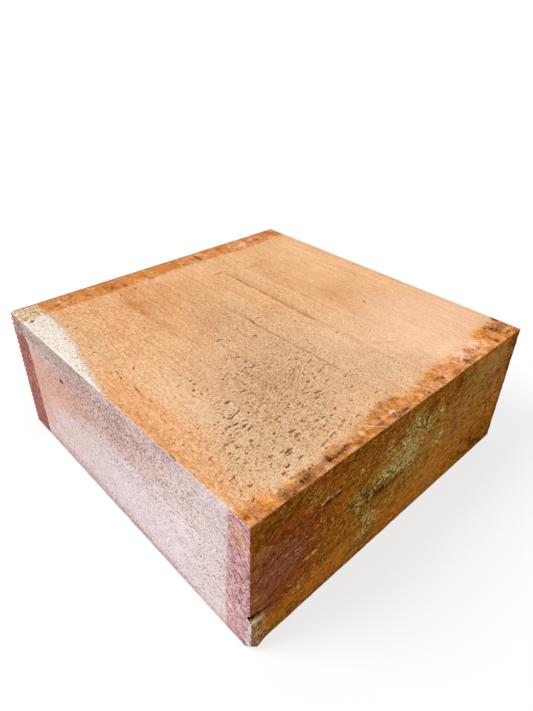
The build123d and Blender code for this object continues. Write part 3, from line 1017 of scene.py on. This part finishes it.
        # Painted shadow: the crevice and the marks' hollows turn near-black.
        colour = w.blend(w.ease(w.mask("hollow"), 0.05, 0.6, 0.0, 0.97), colour, self.crevice)

        roughness = w.add(0.56, (lumps, 0.05), (thick, 0.1), (in_raw, 0.14))
        height = w.add((w.add((lumps, 0.05), (grit, 0.05), (strokes, 0.05)), brushed), (thick, 0.12),
                       (pores, -0.10), (veins, thick, -0.12))
        return w.finish(colour, roughness, height)

    def rings(self, w: Wiring) -> Socket:
        """Growth rings about the tree's heart, which lay below and to the right of the blank.

        Args:
            w: The material's wiring.

        Returns:
            A socket that swings by about 1 either way from ring to ring.
        """
        inputs = {0: w.position((1.0, 0.0, 1.0)), 1: (-self.heart[0], 0.0, -self.heart[1])}
        offset = w.node("ShaderNodeVectorMath", inputs, operation="ADD").outputs["Vector"]
        radius = w.node("ShaderNodeVectorMath", {0: offset}, operation="LENGTH").outputs["Value"]
        wandering = w.add(radius, (w.grain((0.03, 0.03, 0.03), 2.0), 1.6))
        along = w.node("ShaderNodeCombineXYZ", {"X": w.times(wandering, 0.28)}).outputs["Vector"]
        return w.noise_at(along, 3.0, 0.6)


@dataclass(frozen=True)
class TornFibre:
    """Splinters and hairs of bare wood."""

    shaded: Tint = ((0.84, 0.50, 0.20), (0.99, 0.74, 0.36))
    sunlit: Tint = ((0.84, 0.58, 0.34), (0.99, 0.88, 0.66))
    gloss: float = 0.0

    def dress(self, name: str) -> bpy.types.Material:
        """Makes the finish.

        Args:
            name: The material's name.

        Returns:
            The material.
        """
        w = Wiring(name, self.gloss)
        strands = w.grain((3.0, 1.2, 3.0), 3.0, 0.7)
        bare = w.mix_tints(w.ease(w.axis(2), 66.0, 76.0), self.shaded, self.sunlit)
        colour = w.ramp(w.add(0.6, (strands, 0.2)), bare)
        return w.finish(colour, w.add(0.7, (strands, 0.02)), w.times(strands, 0.02))


@dataclass
class TurningBlank:
    """The block itself: one closed mesh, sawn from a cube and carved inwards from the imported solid's box."""

    low: Vector
    high: Vector
    spur_proud: float = 1.3
    arris: float = 0.5
    lean: float = 0.55
    cuts: tuple[int, int, int] = (130, 130, 90)
    spur_flat: float = 4.5
    spur_width: float = 9.3
    spur_height: float = 21.5
    ledge_fall: float = 0.09
    crevice_depth: float = 2.4
    tip_loss: tuple[float, float, float] = (4.0, 4.0, 5.0)
    worn_corner: float = 1.9
    skin: float = 0.22
    saw_pitch: float = 3.2
    rip_pitch: float = 3.1
    tooth_reach: float = 2.6
    tooth_depth: float = 0.62
    finer_steps: tuple[tuple[int, float], ...] = ((2, 1.1), (1, 0.35))
    # Where the painted highlight beside each pit of the upper face lies, toward the front, and how strong it
    # is.
    painted_highlight_shift: float = 0.8
    painted_highlight_strength: float = 0.55
    # How deep a mark must be for the full painted shade of its hollow.
    darkest_depth: float = 0.45
    wax_everywhere: float = 20.0
    seed: int = 7
    marks: list[Mark] = field(init=False)
    front: float = field(init=False)
    corner: Vector = field(init=False)
    points: np.ndarray = field(init=False)
    ragged: np.ndarray = field(init=False)
    sides: np.ndarray = field(init=False)

    def __post_init__(self) -> None:
        """Draws the pits and works out where the sawn front end stands."""
        draw = random.Random(self.seed)
        pits = [pit for pit_field in PIT_FIELDS for pit in pit_field.scatter(draw)]
        widest, foremost = self.high.x - 4, self.low.y + 9
        inside = [pit for pit in pits if abs(pit.centre[0]) < widest and pit.centre[1] > foremost]
        named = [Mark(Face.TOP, (x, y), length, width, 0.35 + 0.35 * width, turn)
                 for x, y, length, width, turn in TOP_PITS]
        self.marks = list(SINGLE_MARKS) + named + inside
        self.front = self.low.y + self.spur_proud
        self.corner = self.low.copy()

    def build(self) -> bpy.types.Object:
        """Builds the block and dresses it.

        Returns:
            The finished object, at the origin.
        """
        bm = bmesh.new()
        self.saw(bm)
        self.lay_grid(bm)
        self.thin_grid(bm)
        self.divide_near_marks(bm)
        self.raise_spur(bm)
        self.break_tip(bm)
        bmesh.ops.recalc_face_normals(bm, faces=bm.faces)
        mesh = bpy.data.meshes.new("blank_block")
        bm.to_mesh(mesh)
        bm.free()
        self.carve(mesh)
        self.dress(mesh)
        block = bpy.data.objects.new("blank_block", mesh)
        bpy.context.scene.collection.objects.link(block)
        return block

    def saw(self, bm: bmesh.types.BMesh) -> None:
        """Makes the plain block with its arrises eased, in millimetres.

        Args:
            bm: The empty mesh that it is made in.
        """
        bmesh.ops.create_cube(bm, size=1.0)
        size = (self.high.x - self.low.x, self.high.y - self.front, self.high.z - self.low.z)
        middle = ((self.high.x + self.low.x) / 2, (self.high.y + self.front) / 2,
                  (self.high.z + self.low.z) / 2)
        bmesh.ops.scale(bm, vec=size, verts=bm.verts)
        bmesh.ops.translate(bm, vec=middle, verts=bm.verts)
        for side in bm.faces:
            side.smooth = True
            side.material_index = max(Face, key=lambda face: face.outward.dot(side.normal)).value
        bmesh.ops.bevel(bm, geom=bm.edges[:], offset=self.arris, segments=2, profile=0.5, affect="EDGES",
                        material=-1)

    def lay_grid(self, bm: bmesh.types.BMesh) -> None:
        """Cuts every face into a grid, one axis after the other.

        Args:
            bm: The block's mesh.
        """
        for axis in range(3):
            long_edges = [edge for edge in bm.edges if self.runs_along(edge, axis, 4.0)]
            bmesh.ops.subdivide_edges(bm, edges=long_edges, cuts=self.cuts[axis], use_grid_fill=True)

    @staticmethod
    def runs_along(edge: bmesh.types.BMEdge, axis: int, longer: float = 0.0) -> bool:
        """Whether an edge is parallel to an axis and longer than a length."""
        span = edge.verts[1].co - edge.verts[0].co
        return span.length > longer and abs(span[axis]) > 0.999 * span.length

    def thin_grid(self, bm: bmesh.types.BMesh) -> None:
        """Takes every second line out of the faces where the grid is finer than their relief.

        Args:
            bm: The block's mesh.
        """
        too_fine = {(Face.UNDERSIDE, 0), (Face.UNDERSIDE, 1), (Face.LEFT_SIDE, 2), (Face.RIGHT_SIDE, 1),
                    (Face.RIGHT_SIDE, 2), (Face.FRONT_END, 0), (Face.BACK_END, 0)}
        starts = (self.low.x + self.arris, self.front + self.arris, self.low.z + self.arris)
        ends = (self.high.x - self.arris, self.high.y - self.arris, self.high.z - self.arris)
        for face, across in sorted(too_fine, key=lambda pair: (pair[0].value, pair[1])):
            step = (ends[across] - starts[across]) / (self.cuts[across] + 1)
            along = next(axis for axis in face.axes if axis != across)
            lines = []
            for edge in bm.edges:
                place = (edge.verts[0].co[across] - starts[across]) / step
                odd = abs(place - round(place)) < 0.01 and round(place) % 2 == 1
                if odd and self.runs_along(edge, along) and self.lies_in(edge, face):
                    lines.append(edge)
            bmesh.ops.dissolve_edges(bm, edges=lines, use_verts=True)

    @staticmethod
    def lies_in(edge: bmesh.types.BMEdge, face: Face) -> bool:
        """Whether both faces of an edge belong to one flat face of the block."""
        return all(side.normal.dot(face.outward) > 0.999 for side in edge.link_faces)

    def divide_near_marks(self, bm: bmesh.types.BMesh) -> None:
        """Divides the grid finely round each mark, the spur and the serrated arris, in two steps.

        Args:
            bm: The block's mesh.
        """
        for cuts, margin in self.finer_steps:
            bm.faces.ensure_lookup_table()
            centres = np.array([face.calc_center_median() for face in bm.faces])
            sides = np.array([face.material_index for face in bm.faces])
            wanted = np.zeros(len(centres), bool)
            for mark in self.marks:
                first, second = mark.face.axes
                near = mark.near(centres[:, first], centres[:, second], margin)
                wanted |= (sides == mark.face.value) & near
            x, y, z = centres.T
            on_front = sides == Face.FRONT_END.value
            below_spur = (y < self.front + 4) & (z < self.spur_height + 5)
            at_corner = (x < self.low.x + self.spur_width + 2) & below_spur
            wanted |= at_corner & (on_front | (x < self.low.x + 3))
            near_ledge = np.abs(z - self.spur_height - 0.4 + self.ledge_fall * (x - self.low.x)) < 2.4
            wanted |= near_ledge & (x < self.low.x + 26) & on_front
            if cuts == 2:
                wanted |= (x < self.low.x + 2.5) & (y > self.high.y - 2.5)
            edges = {edge for index in np.flatnonzero(wanted) for edge in bm.faces[index].edges}
            ordered = sorted(edges, key=lambda edge: edge.index)
            bmesh.ops.subdivide_edges(bm, edges=ordered, cuts=cuts, use_grid_fill=True)
            bm.normal_update()

    def ledge_height(self, x: float) -> float:
        """How high the spur's torn ledge stands at a place across the front.

        Args:
            x: The place, in millimetres.

        Returns:
            The ledge's height above the bench.
        """
        away = x - self.low.x
        broad = noise.noise(Vector((0.9 * away, 3.1, 0.0)))
        fine = noise.noise(Vector((2.6 * away, 7.7, 0.0)))
        return self.spur_height - 0.3 - self.ledge_fall * away + (0.7 * broad + 0.35 * fine)

    def spur_share(self, point: Vector) -> float:
        """How much of its full thickness the spur has at a point of the front.

        Args:
            point: The point, in millimetres.

        Returns:
            1 where the spur is whole and 0 where there is none.
        """
        away = point.x - self.low.x
        run_out = 1.0 - min(max((away - self.spur_flat) / (self.spur_width - self.spur_flat), 0.0), 1.0)
        below = min(max((self.ledge_height(point.x) - point.z) / 0.35, 0.0), 1.0)
        return run_out * below

    def raise_spur(self, bm: bmesh.types.BMesh) -> None:
        """Leans the block as it was sawn, and pulls the torn spur out of its front end.

        Args:
            bm: The block's mesh.
        """
        for vert in bm.verts:
            point = vert.co.copy()
            vert.co.y -= self.lean * (1.0 - point.z / self.high.z)
            if point.y < self.front + 1.2:
                gap = max(vert.co.y - self.low.y - 0.6 * (point.y - self.front), 0.0)
                vert.co.y -= gap * self.spur_share(point)

    def break_tip(self, bm: bmesh.types.BMesh) -> None:
        """Breaks the tip off the lower front-left corner and closes the break.

        Args:
            bm: The block's mesh.
        """
        across = self.corner + Vector((self.tip_loss[0], 0, 0))
        along = self.corner + Vector((0, self.tip_loss[1], 0))
        up = self.corner + Vector((0, 0, self.tip_loss[2]))
        inward = (along - across).cross(up - across)
        if inward.dot(Vector((1, 1, 1))) < 0:
            inward.negate()
        everything = bm.verts[:] + bm.edges[:] + bm.faces[:]
        bmesh.ops.bisect_plane(bm, geom=everything, plane_co=across, plane_no=-inward, clear_outer=True)
        rim = [edge for edge in bm.edges if edge.is_boundary]
        closed = bmesh.ops.holes_fill(bm, edges=rim, sides=0)["faces"]
        for face in closed:
            face.material_index = Face.FRONT_END.value
        split = bmesh.ops.triangulate(bm, faces=closed, ngon_method="BEAUTY")["faces"]
        edges = {edge for face in split for edge in face.edges}
        inner = [edge for edge in edges if not set(edge.link_faces) - set(split)]
        bmesh.ops.subdivide_edges(bm, edges=sorted(inner, key=lambda edge: edge.calc_length()), cuts=2)
        bm.normal_update()

    def carve(self, mesh: bpy.types.Mesh) -> None:
        """Presses every face's relief inwards, then turns the mesh from millimetres to metres.

        Args:
            mesh: The block's mesh.
        """
        points = np.zeros(len(mesh.vertices) * 3)
        mesh.vertices.foreach_get("co", points)
        points = points.reshape(-1, 3)
        normals = np.array([tuple(normal.vector) for normal in mesh.vertex_normals])
        self.ragged = points + 0.42 * np.stack([self.turbulence(points + shift, (0.95, 1.1, 0.95), 2)
                                                for shift in (0.0, 31.0, 67.0)], axis=1)
        sunk = points.copy()
        for face in Face:
            facing = np.clip(normals @ np.array(face.outward), 0.0, 1.0)
            held = facing > 0.02
            depth = np.zeros(len(points))
            depth[held] = self.depth(face, points[held], self.ragged[held])
            sunk -= np.outer(np.sqrt(facing) * depth, face.outward)
        sunk = self.notch_back_arris(points, self.wear_corner(sunk))
        sunk = np.clip(sunk, np.array(self.low), np.array(self.high))
        self.sides = np.argmax(normals @ np.array(OUTWARD).T, axis=1)
        self.points = points
        mesh.vertices.foreach_set("co", (sunk * MM).ravel())
        mesh.update()

    @staticmethod
    def turbulence(points: np.ndarray, per_mm: Colour, octaves: int = 3) -> np.ndarray:
        """Layered noise at many points.

        Args:
            points: The points, in millimetres.
            per_mm: How fine the noise is along each axis.
            octaves: How many layers it has.

        Returns:
            The noise there, roughly from -1 to 1.
        """
        scaled = points * np.array(per_mm)
        return np.array([noise.fractal(Vector(point), 1.0, 2.0, octaves) for point in scaled])

    def depth(self, face: Face, points: np.ndarray, ragged: np.ndarray) -> np.ndarray:
        """How deep one face's surface lies under the box at each point, in millimetres.

        Args:
            face: The face.
            points: The points, in millimetres.
            ragged: The same points pulled about a little, which makes the marks' outlines ragged.

        Returns:
            The depth at each point, never less than nothing.
        """
        first, second = points[:, face.axes[0]], points[:, face.axes[1]]
        rough = LOOKS[face].weigh("rough", first, second)
        if face is Face.TOP:
            relief = 0.05 * self.turbulence(points, (0.05, 0.02, 0.05), 2)
            relief += (0.02 + 0.07 * np.clip(rough, 0, 1)) * self.turbulence(points, (0.35, 0.5, 0.3))
        elif face is Face.BACK_END:
            coarse = np.clip(0.62 - 0.45 * (points[:, 0] - self.low.x) / 90.0, 0.22, 0.55)
            coarse *= 0.85 + 0.5 * self.turbulence(points, (0.03, 0.03, 0.09), 2)
            relief = coarse * self.saw_ridges(points) + 0.10 * self.turbulence(points, (0.3, 0.3, 0.3))
        elif face is Face.FRONT_END:
            relief = 0.14 * self.turbulence(points, (0.12, 0.12, 0.2))
            relief += 0.08 * self.turbulence(points, (0.4, 0.4, 0.5))
        else:
            wander = 1.5 * self.turbulence(points, (0.02, 0.02, 0.02), 1)
            saw = np.sin(2 * np.pi * points[:, 1] / self.rip_pitch + wander)
            relief = 0.045 * saw + 0.08 * self.turbulence(points, (0.22, 0.14, 0.22))
        depth = self.skin + relief
        for mark in self.marks:
            if mark.face is face:
                depth = depth + mark.depth * mark.hollow(ragged[:, face.axes[0]], ragged[:, face.axes[1]])
        if face is Face.FRONT_END:
            depth = depth + self.crevice_depth * self.crevice_share(points)
        return np.maximum(depth, 0.0)

    def saw_ridges(self, points: np.ndarray) -> np.ndarray:
        """The ridges that the cross-cut saw left across the back end, from 0 on a ridge to 1 between two."""
        wander = 0.5 * self.turbulence(points, (0.02, 0.02, 0.05), 2)
        return (0.5 - 0.5 * np.cos(2 * np.pi * points[:, 2] / self.saw_pitch + 2 * wander)) ** 1.6

    def notch_back_arris(self, points: np.ndarray, sunk: np.ndarray) -> np.ndarray:
        """Lets the saw's ridges run out over the back left arris, as small teeth.

        Args:
            points: The block's points before they were carved.
            sunk: The carved points.

        Returns:
            The carved points with that arris notched.
        """
        reach = self.tooth_reach
        near = (points[:, 0] < self.low.x + reach) & (points[:, 1] > self.high.y - reach)
        away = np.hypot(points[near, 0] - self.low.x, points[near, 1] - self.high.y)
        share = np.clip(1.0 - away / reach, 0.0, 1.0)
        notched = sunk.copy()
        uneven = np.clip(0.75 + 0.9 * self.turbulence(points[near], (0.0, 0.0, 0.22), 2), 0.15, 1.2)
        cut = self.tooth_depth * share * uneven * self.saw_ridges(points[near])
        notched[near, 0] += cut
        notched[near, 1] -= cut
        return notched

    def crevice_share(self, points: np.ndarray) -> np.ndarray:
        """How open the dark crevice above the spur's ledge is at each point.

        Args:
            points: The points, in millimetres.

        Returns:
            0 outside the crevice and 1 in its middle.
        """
        away = points[:, 0] - self.low.x
        above = points[:, 2] - np.array([self.ledge_height(x) for x in points[:, 0]])
        gape = np.clip(1.9 - away / 8.0, 0.28, 1.6)
        shut = np.clip(1.9 - away / 14.0, 0.0, 1.0)
        return np.clip(1.35 - 1.35 * np.abs(above - 1.15 * gape) / (1.2 * gape), 0.0, 1.0) * shut

    def wear_corner(self, points: np.ndarray) -> np.ndarray:
        """Rounds the handled upper back-left corner.

        Args:
            points: All the block's points, in millimetres.

        Returns:
            The points with that corner rounded.
        """
        radius = self.worn_corner
        middle = np.array((self.low.x + radius, self.high.y - radius, self.high.z - radius))
        offset = points - middle
        outer = (offset[:, 0] < 0) & (offset[:, 1] > 0) & (offset[:, 2] > 0)
        length = np.linalg.norm(offset, axis=1)
        over = outer & (length > radius)
        worn = points.copy()
        worn[over] = middle + offset[over] * (radius / length[over])[:, None]
        return worn

    def dress(self, mesh: bpy.types.Mesh) -> None:
        """Paints the masks that the finishes read, and gives each face its finish.

        Args:
            mesh: The carved mesh.
        """
        for name, values in self.paint_masks().items():
            attribute = mesh.attributes.new(name, "FLOAT", "POINT")
            attribute.data.foreach_set("value", values.astype(np.float32))
        sawn = SawnFace()
        under = SawnFace(
            pale=((0.40, 0.21, 0.11), (0.86, 0.62, 0.43)), peach=((0.48, 0.22, 0.09), (0.88, 0.56, 0.33)),
            speckled=((0.36, 0.18, 0.09), (0.80, 0.54, 0.36)), saw_lines=0.20,
            wax_front=((0.30, 0.10, 0.025), (0.84, 0.40, 0.15)),
            wax_back=((0.28, 0.09, 0.025), (0.76, 0.34, 0.13)),
        )
        end = WaxedEnd()
        finishes = {
            Face.TOP: PlanedFace().dress("planed_face"), Face.UNDERSIDE: under.dress("sawn_underside"),
            Face.LEFT_SIDE: sawn.dress("sawn_side"), Face.FRONT_END: end.dress("waxed_end"),
        }
        finishes[Face.RIGHT_SIDE] = finishes[Face.LEFT_SIDE]
        finishes[Face.BACK_END] = finishes[Face.FRONT_END]
        for face in Face:
            mesh.materials.append(finishes[face])

    def paint_masks(self) -> dict[str, np.ndarray]:
        """Works out every mask at every point.

        Returns:
            The masks by name: how far inside the wax and the sapwood a point lies, in millimetres, and
            how strongly each other mark holds there.
        """
        points, count = self.points, len(self.points)
        painted = ("tone", "warmth", "rough", "stain_and_shadow", "bloom", "torn", "haze")
        masks = {name: np.zeros(count) for name in (*painted, "hollow", "wax")}
        for face in Face:
            here = self.sides == face.value
            first, second = points[here, face.axes[0]], points[here, face.axes[1]]
            for name in painted:
                masks[name][here] = LOOKS[face].weigh(name, first, second)
            hollow = np.zeros(len(first))
            ragged = self.ragged[here]
            for mark in self.marks:
                if mark.face is not face:
                    continue
                share = mark.hollow(ragged[:, face.axes[0]], ragged[:, face.axes[1]])
                # A mark's hollow colour strengthens with its depth up to darkest_depth: painted shade in the
                # deeper hollows.
                hollow = np.maximum(hollow, share * min(1.0, mark.depth / self.darkest_depth))
                # On the upper face a painted highlight joins the torn mask just in front of each pit.
                if face is Face.TOP:
                    painted_highlight = mark.hollow(ragged[:, 0], ragged[:, 1] + self.painted_highlight_shift)
                    masks["torn"][here] += self.painted_highlight_strength * painted_highlight * (1.0 - share)
            masks["hollow"][here] = hollow
            masks["wax"][here] = self.wax_depth(face, points[here])
        ledge = np.array([self.ledge_height(x) for x in points[:, 0]])
        away, above = points[:, 0] - self.low.x, points[:, 2] - ledge
        front = points[:, 1] < self.front + 1.0
        spur = 0.80 * np.clip((self.spur_width + 3.0 - away) / 6.0, 0, 1) * np.clip(0.2 - above / 0.4, 0, 1)
        # The pale line along the spur's ledge joins the torn mask: torn fibre, with a painted highlight where
        # the ledge faces up.
        ledge_line = 2.0 * np.clip(1.0 - np.abs(above + 0.4) / 1.2, 0, 1) * np.clip(1.5 - away / 6.5, 0, 1)
        tip = np.linalg.norm((points - np.array(self.corner)) / np.array(self.tip_loss), axis=1)
        masks["torn"] += np.maximum(np.maximum(spur, ledge_line) * front, 0.7 * np.clip(2.1 - tip, 0, 1))
        # The crevice over the ledge joins the hollow mask, where the end's finish paints shadow.
        masks["hollow"] = np.maximum(masks["hollow"], self.crevice_share(points) * front)
        masks["sapwood"] = self.sapwood_depth(points)
        return masks

    def wax_depth(self, face: Face, points: np.ndarray) -> np.ndarray:
        """How far inside the waxed ends each point lies, in millimetres.

        Args:
            face: The face that the points are on.
            points: The points.

        Returns:
            The distance from the wax's edge, below zero on bare wood.
        """
        if face in (Face.FRONT_END, Face.BACK_END):
            return np.full(len(points), self.wax_everywhere)
        look = LOOKS[face]
        place = points[:, 0] if face in (Face.TOP, Face.UNDERSIDE) else points[:, 2]
        reach_front = np.interp(place, *zip(*look.wax_front))
        reach_back = np.interp(place, *zip(*look.wax_back))
        from_front, from_back = points[:, 1] - self.front, self.high.y - points[:, 1]
        return np.maximum(reach_front - from_front, reach_back - from_back)

    def sapwood_depth(self, points: np.ndarray) -> np.ndarray:
        """How far inside the sapwood each point lies: a wedge along the upper left arris.

        Args:
            points: The points.

        Returns:
            The distance from the sapwood's edge, below zero in heartwood.
        """
        width = np.interp(points[:, 1], *zip(*SAPWOOD_WIDTH))
        return width - (points[:, 0] - self.low.x) - SAPWOOD_SLOPE * (self.high.z - points[:, 2])


# The sapwood's width on the upper face at places along the blank, and how fast it runs out down the side
SAPWOOD_WIDTH = ((-24, -5.0), (-3, 0.0), (9, 2.9), (19, 5.4), (31, 8.1), (48, 11.4), (64, 14.6), (80, 15.4),
                 (102, 15.6))
SAPWOOD_SLOPE = 1.35
FIBRE_STEPS = 7

# Hairs on the waxed front end: place across and up, length, the way each sets off and its curl in degrees
FRONT_HAIRS = (
    (-77.6, 44.8, 4.0, -4, 10), (-100.0, 34.4, 4.2, -4, 6), (-64.7, 25.2, 5.4, -84, -50),
    (-58.9, 22.8, 7.0, -60, 8), (-62.8, 50.4, 3.0, 62, -50), (-80.4, 24.0, 3.2, -16, 10),
    (-69.4, 44.2, 3.2, -4, 16), (-20.6, 63.4, 3.0, -60, 40), (-14.2, 61.6, 3.0, -48, 50),
)


@dataclass
class LooseFibres:
    """Splinters on the torn spur and stray hairs that the saw left on the waxed end and the top."""

    low: Vector
    high: Vector
    front: float
    splinters: int = 16
    ledge_height: float = 20.4
    ledge_fall: float = 0.09
    hair_radius: float = 0.31
    long_hair: float = 12.6
    long_hair_radius: float = 0.34
    seed: int = 11

    def build(self) -> bpy.types.Object:
        """Builds the fibres as one object.

        Returns:
            The finished object, at the origin.
        """
        bm = bmesh.new()
        draw = random.Random(self.seed)
        for _ in range(self.splinters):
            away = draw.uniform(0.4, 7.4)
            height = self.ledge_height - self.ledge_fall * away + draw.uniform(-0.9, 0.3)
            root = Vector((self.low.x + away, self.low.y + 0.75, height))
            heading = Vector((draw.uniform(0.2, 1.0), -0.08, draw.uniform(0.1, 0.9)))
            length, radius = draw.uniform(1.2, 3.0), draw.uniform(0.13, 0.30)
            self.sliver(bm, root, heading, length, radius, draw.uniform(-25, 25))
        for x, z, length, turn, bend in FRONT_HAIRS:
            heading = Vector((math.cos(math.radians(turn)), 0, math.sin(math.radians(turn))))
            self.sliver(bm, Vector((x, self.front - 0.33, z)), heading, length, self.hair_radius, bend)
        root, heading = Vector((-31.4, -91.2, self.high.z - 0.40)), Vector((0.70, -0.71, 0.008))
        self.sliver(bm, root, heading, self.long_hair, self.long_hair_radius, 0.0, 0.90)
        bmesh.ops.remove_doubles(bm, verts=bm.verts, dist=0.0005)
        bmesh.ops.recalc_face_normals(bm, faces=bm.faces)
        bmesh.ops.scale(bm, vec=(MM, MM, MM), verts=bm.verts)
        mesh = bpy.data.meshes.new("loose_fibres")
        bm.to_mesh(mesh)
        bm.free()
        mesh.materials.append(TornFibre().dress("torn_fibre"))
        fibres = bpy.data.objects.new("loose_fibres", mesh)
        bpy.context.scene.collection.objects.link(fibres)
        return fibres

    @staticmethod
    def sliver(bm: bmesh.types.BMesh, root: Vector, heading: Vector, length: float, radius: float,
               bend: float, taper: float = 0.8) -> None:
        """Extrudes one tapering fibre that curls as it goes.

        Args:
            bm: The mesh that it joins.
            root: Where it starts, in millimetres.
            heading: Which way it sets off.
            length: Its length.
            radius: Its radius at the root.
            bend: How far it curls over its length, in degrees.
            taper: How much of its radius each of its steps keeps.
        """
        direction = heading.normalized()
        turn = direction.to_track_quat("Z", "Y").to_matrix().to_4x4()
        place = Matrix.Translation(root) @ turn
        made = bmesh.ops.create_circle(bm, cap_ends=True, segments=5, radius=radius, matrix=place)
        tip = next(face for face in made["verts"][0].link_faces)
        curl = Matrix.Rotation(math.radians(bend) / FIBRE_STEPS, 3, Vector((0, 1, 0)))
        for _ in range(FIBRE_STEPS):
            grown = bmesh.ops.extrude_discrete_faces(bm, faces=[tip])["faces"]
            tip = grown[0]
            centre = tip.calc_center_median()
            about_centre = Matrix.Translation(-centre)
            bmesh.ops.scale(bm, vec=(taper, taper, taper), space=about_centre, verts=tip.verts)
            direction = curl @ direction
            bmesh.ops.translate(bm, vec=direction * (length / FIBRE_STEPS), verts=tip.verts)
        for side in bm.faces:
            side.smooth = True


@dataclass(frozen=True)
class Studio:
    """A pale floor, one broad soft lamp from behind on the left, and an even pale surround."""

    floor_radius: float = 40.0
    floor_shade: float = 0.60
    shade_seen: float = 0.26
    lamp_level: float = 0.82
    lamp_width: float = 32.0
    lamp_from: Colour = (-0.58, 0.40, 0.71)
    surround_level: float = 0.47

    def build(self) -> None:
        """Sets up the floor, the lamp and the surround."""
        self.lay_floor()
        self.hang_lamp()
        self.light_surround()
        bpy.context.scene.view_settings.view_transform = "Standard"

    def lay_floor(self) -> None:
        """Lays the floor under the blank: pale, and white to the camera where the light falls on it."""
        bm = bmesh.new()
        bmesh.ops.create_circle(bm, cap_ends=True, segments=96, radius=self.floor_radius)
        mesh = bpy.data.meshes.new("floor")
        bm.to_mesh(mesh)
        bm.free()
        floor = bpy.data.objects.new("floor", mesh)
        bpy.context.scene.collection.objects.link(floor)
        material = bpy.data.materials.new("pale_floor")
        material.use_nodes = True
        tree = material.node_tree
        tree.nodes.clear()
        output = tree.nodes.new("ShaderNodeOutputMaterial")
        both = tree.nodes.new("ShaderNodeAddShader")
        matt = tree.nodes.new("ShaderNodeBsdfDiffuse")
        glow = tree.nodes.new("ShaderNodeEmission")
        seen = seen_directly(tree)
        shade = tree.nodes.new("ShaderNodeMapRange")
        shade.inputs["To Min"].default_value = self.floor_shade
        shade.inputs["To Max"].default_value = self.shade_seen
        strength = tree.nodes.new("ShaderNodeMath")
        strength.operation = "MULTIPLY"
        strength.inputs[1].default_value = 1.0 - self.shade_seen
        tree.links.new(seen, shade.inputs["Value"])
        tree.links.new(shade.outputs["Result"], matt.inputs["Color"])
        tree.links.new(seen, strength.inputs[0])
        tree.links.new(strength.outputs["Value"], glow.inputs["Strength"])
        tree.links.new(matt.outputs["BSDF"], both.inputs[0])
        tree.links.new(glow.outputs["Emission"], both.inputs[1])
        tree.links.new(both.outputs["Shader"], output.inputs["Surface"])
        mesh.materials.append(material)

    def hang_lamp(self) -> None:
        """Hangs the broad lamp."""
        lamp = bpy.data.lights.new("window_lamp", "SUN")
        lamp.energy = self.lamp_level * math.pi
        lamp.angle = math.radians(self.lamp_width)
        holder = bpy.data.objects.new("window_lamp", lamp)
        holder.rotation_mode = "QUATERNION"
        holder.rotation_quaternion = Vector(self.lamp_from).to_track_quat("Z", "Y")
        bpy.context.scene.collection.objects.link(holder)

    def light_surround(self) -> None:
        """Lights the surround evenly, and shows it white to the camera and in reflections."""
        world = bpy.data.worlds.new("surround")
        bpy.context.scene.world = world
        world.use_nodes = True
        tree = world.node_tree
        back = tree.nodes["Background"]
        level = tree.nodes.new("ShaderNodeMapRange")
        level.inputs["To Min"].default_value = self.surround_level
        level.inputs["To Max"].default_value = 1.0
        tree.links.new(seen_directly(tree), level.inputs["Value"])
        back.inputs["Color"].default_value = (1.0, 1.0, 1.0, 1.0)
        tree.links.new(level.outputs["Result"], back.inputs["Strength"])


def seen_directly(tree: bpy.types.NodeTree) -> Socket:
    """Tells camera, glossy and transmission rays from the rest.

    Args:
        tree: The node tree that asks.

    Returns:
        A socket that is 1 for such a ray and 0 for any other.
    """
    path = tree.nodes.new("ShaderNodeLightPath")
    seen = path.outputs["Is Camera Ray"]
    for name in ("Is Glossy Ray", "Is Transmission Ray"):
        either = tree.nodes.new("ShaderNodeMath")
        either.operation = "MAXIMUM"
        tree.links.new(seen, either.inputs[0])
        tree.links.new(path.outputs[name], either.inputs[1])
        seen = either.outputs["Value"]
    return seen


@dataclass(frozen=True)
class ViewCamera:
    """The camera, at the height and distance from which the blank was looked at."""

    place: Vector = Vector((-0.18499, -0.19061, 0.22990))
    heading: float = 44.417
    pitch: float = 33.437
    roll: float = 1.751
    focal_pixels: float = 548.0
    long_side_pixels: float = 711.0
    sensor: float = 36.0

    def build(self) -> bpy.types.Object:
        """Makes the camera and takes the scene's view from it.

        Returns:
            The camera.
        """
        data = bpy.data.cameras.new("view_camera")
        data.sensor_width = self.sensor
        data.lens = self.focal_pixels * self.sensor / self.long_side_pixels
        data.clip_start, data.clip_end = 0.01, 100.0
        camera = bpy.data.objects.new("view_camera", data)
        turn = Matrix.Rotation(math.radians(-self.heading), 4, "Z")
        tilt = Matrix.Rotation(math.radians(90 - self.pitch), 4, "X")
        roll = Matrix.Rotation(math.radians(self.roll), 4, "Z")
        camera.matrix_world = Matrix.Translation(self.place) @ turn @ tilt @ roll
        bpy.context.scene.collection.objects.link(camera)
        bpy.context.scene.camera = camera
        return camera


def settle(piece: bpy.types.Object) -> None:
    """Lets a piece ride with the blank, and logs how many triangles it has.

    Args:
        piece: The finished piece.
    """
    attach(piece, BODY)
    mesh = piece.data
    mesh.calc_loop_triangles()
    logging.info("%s: %d triangles", piece.name, len(mesh.loop_triangles))


def main() -> None:
    """Builds the studio, the camera and the dressed blank."""
    logging.basicConfig(level=logging.INFO, format="%(message)s")
    Studio().build()
    ViewCamera().build()
    low, high = (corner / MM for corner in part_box(NODE))
    blank = TurningBlank(low, high)
    block = blank.build()
    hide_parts(NODE)
    settle(block)
    settle(LooseFibres(low, high, blank.front).build())


if __name__ == "__main__":
    main()
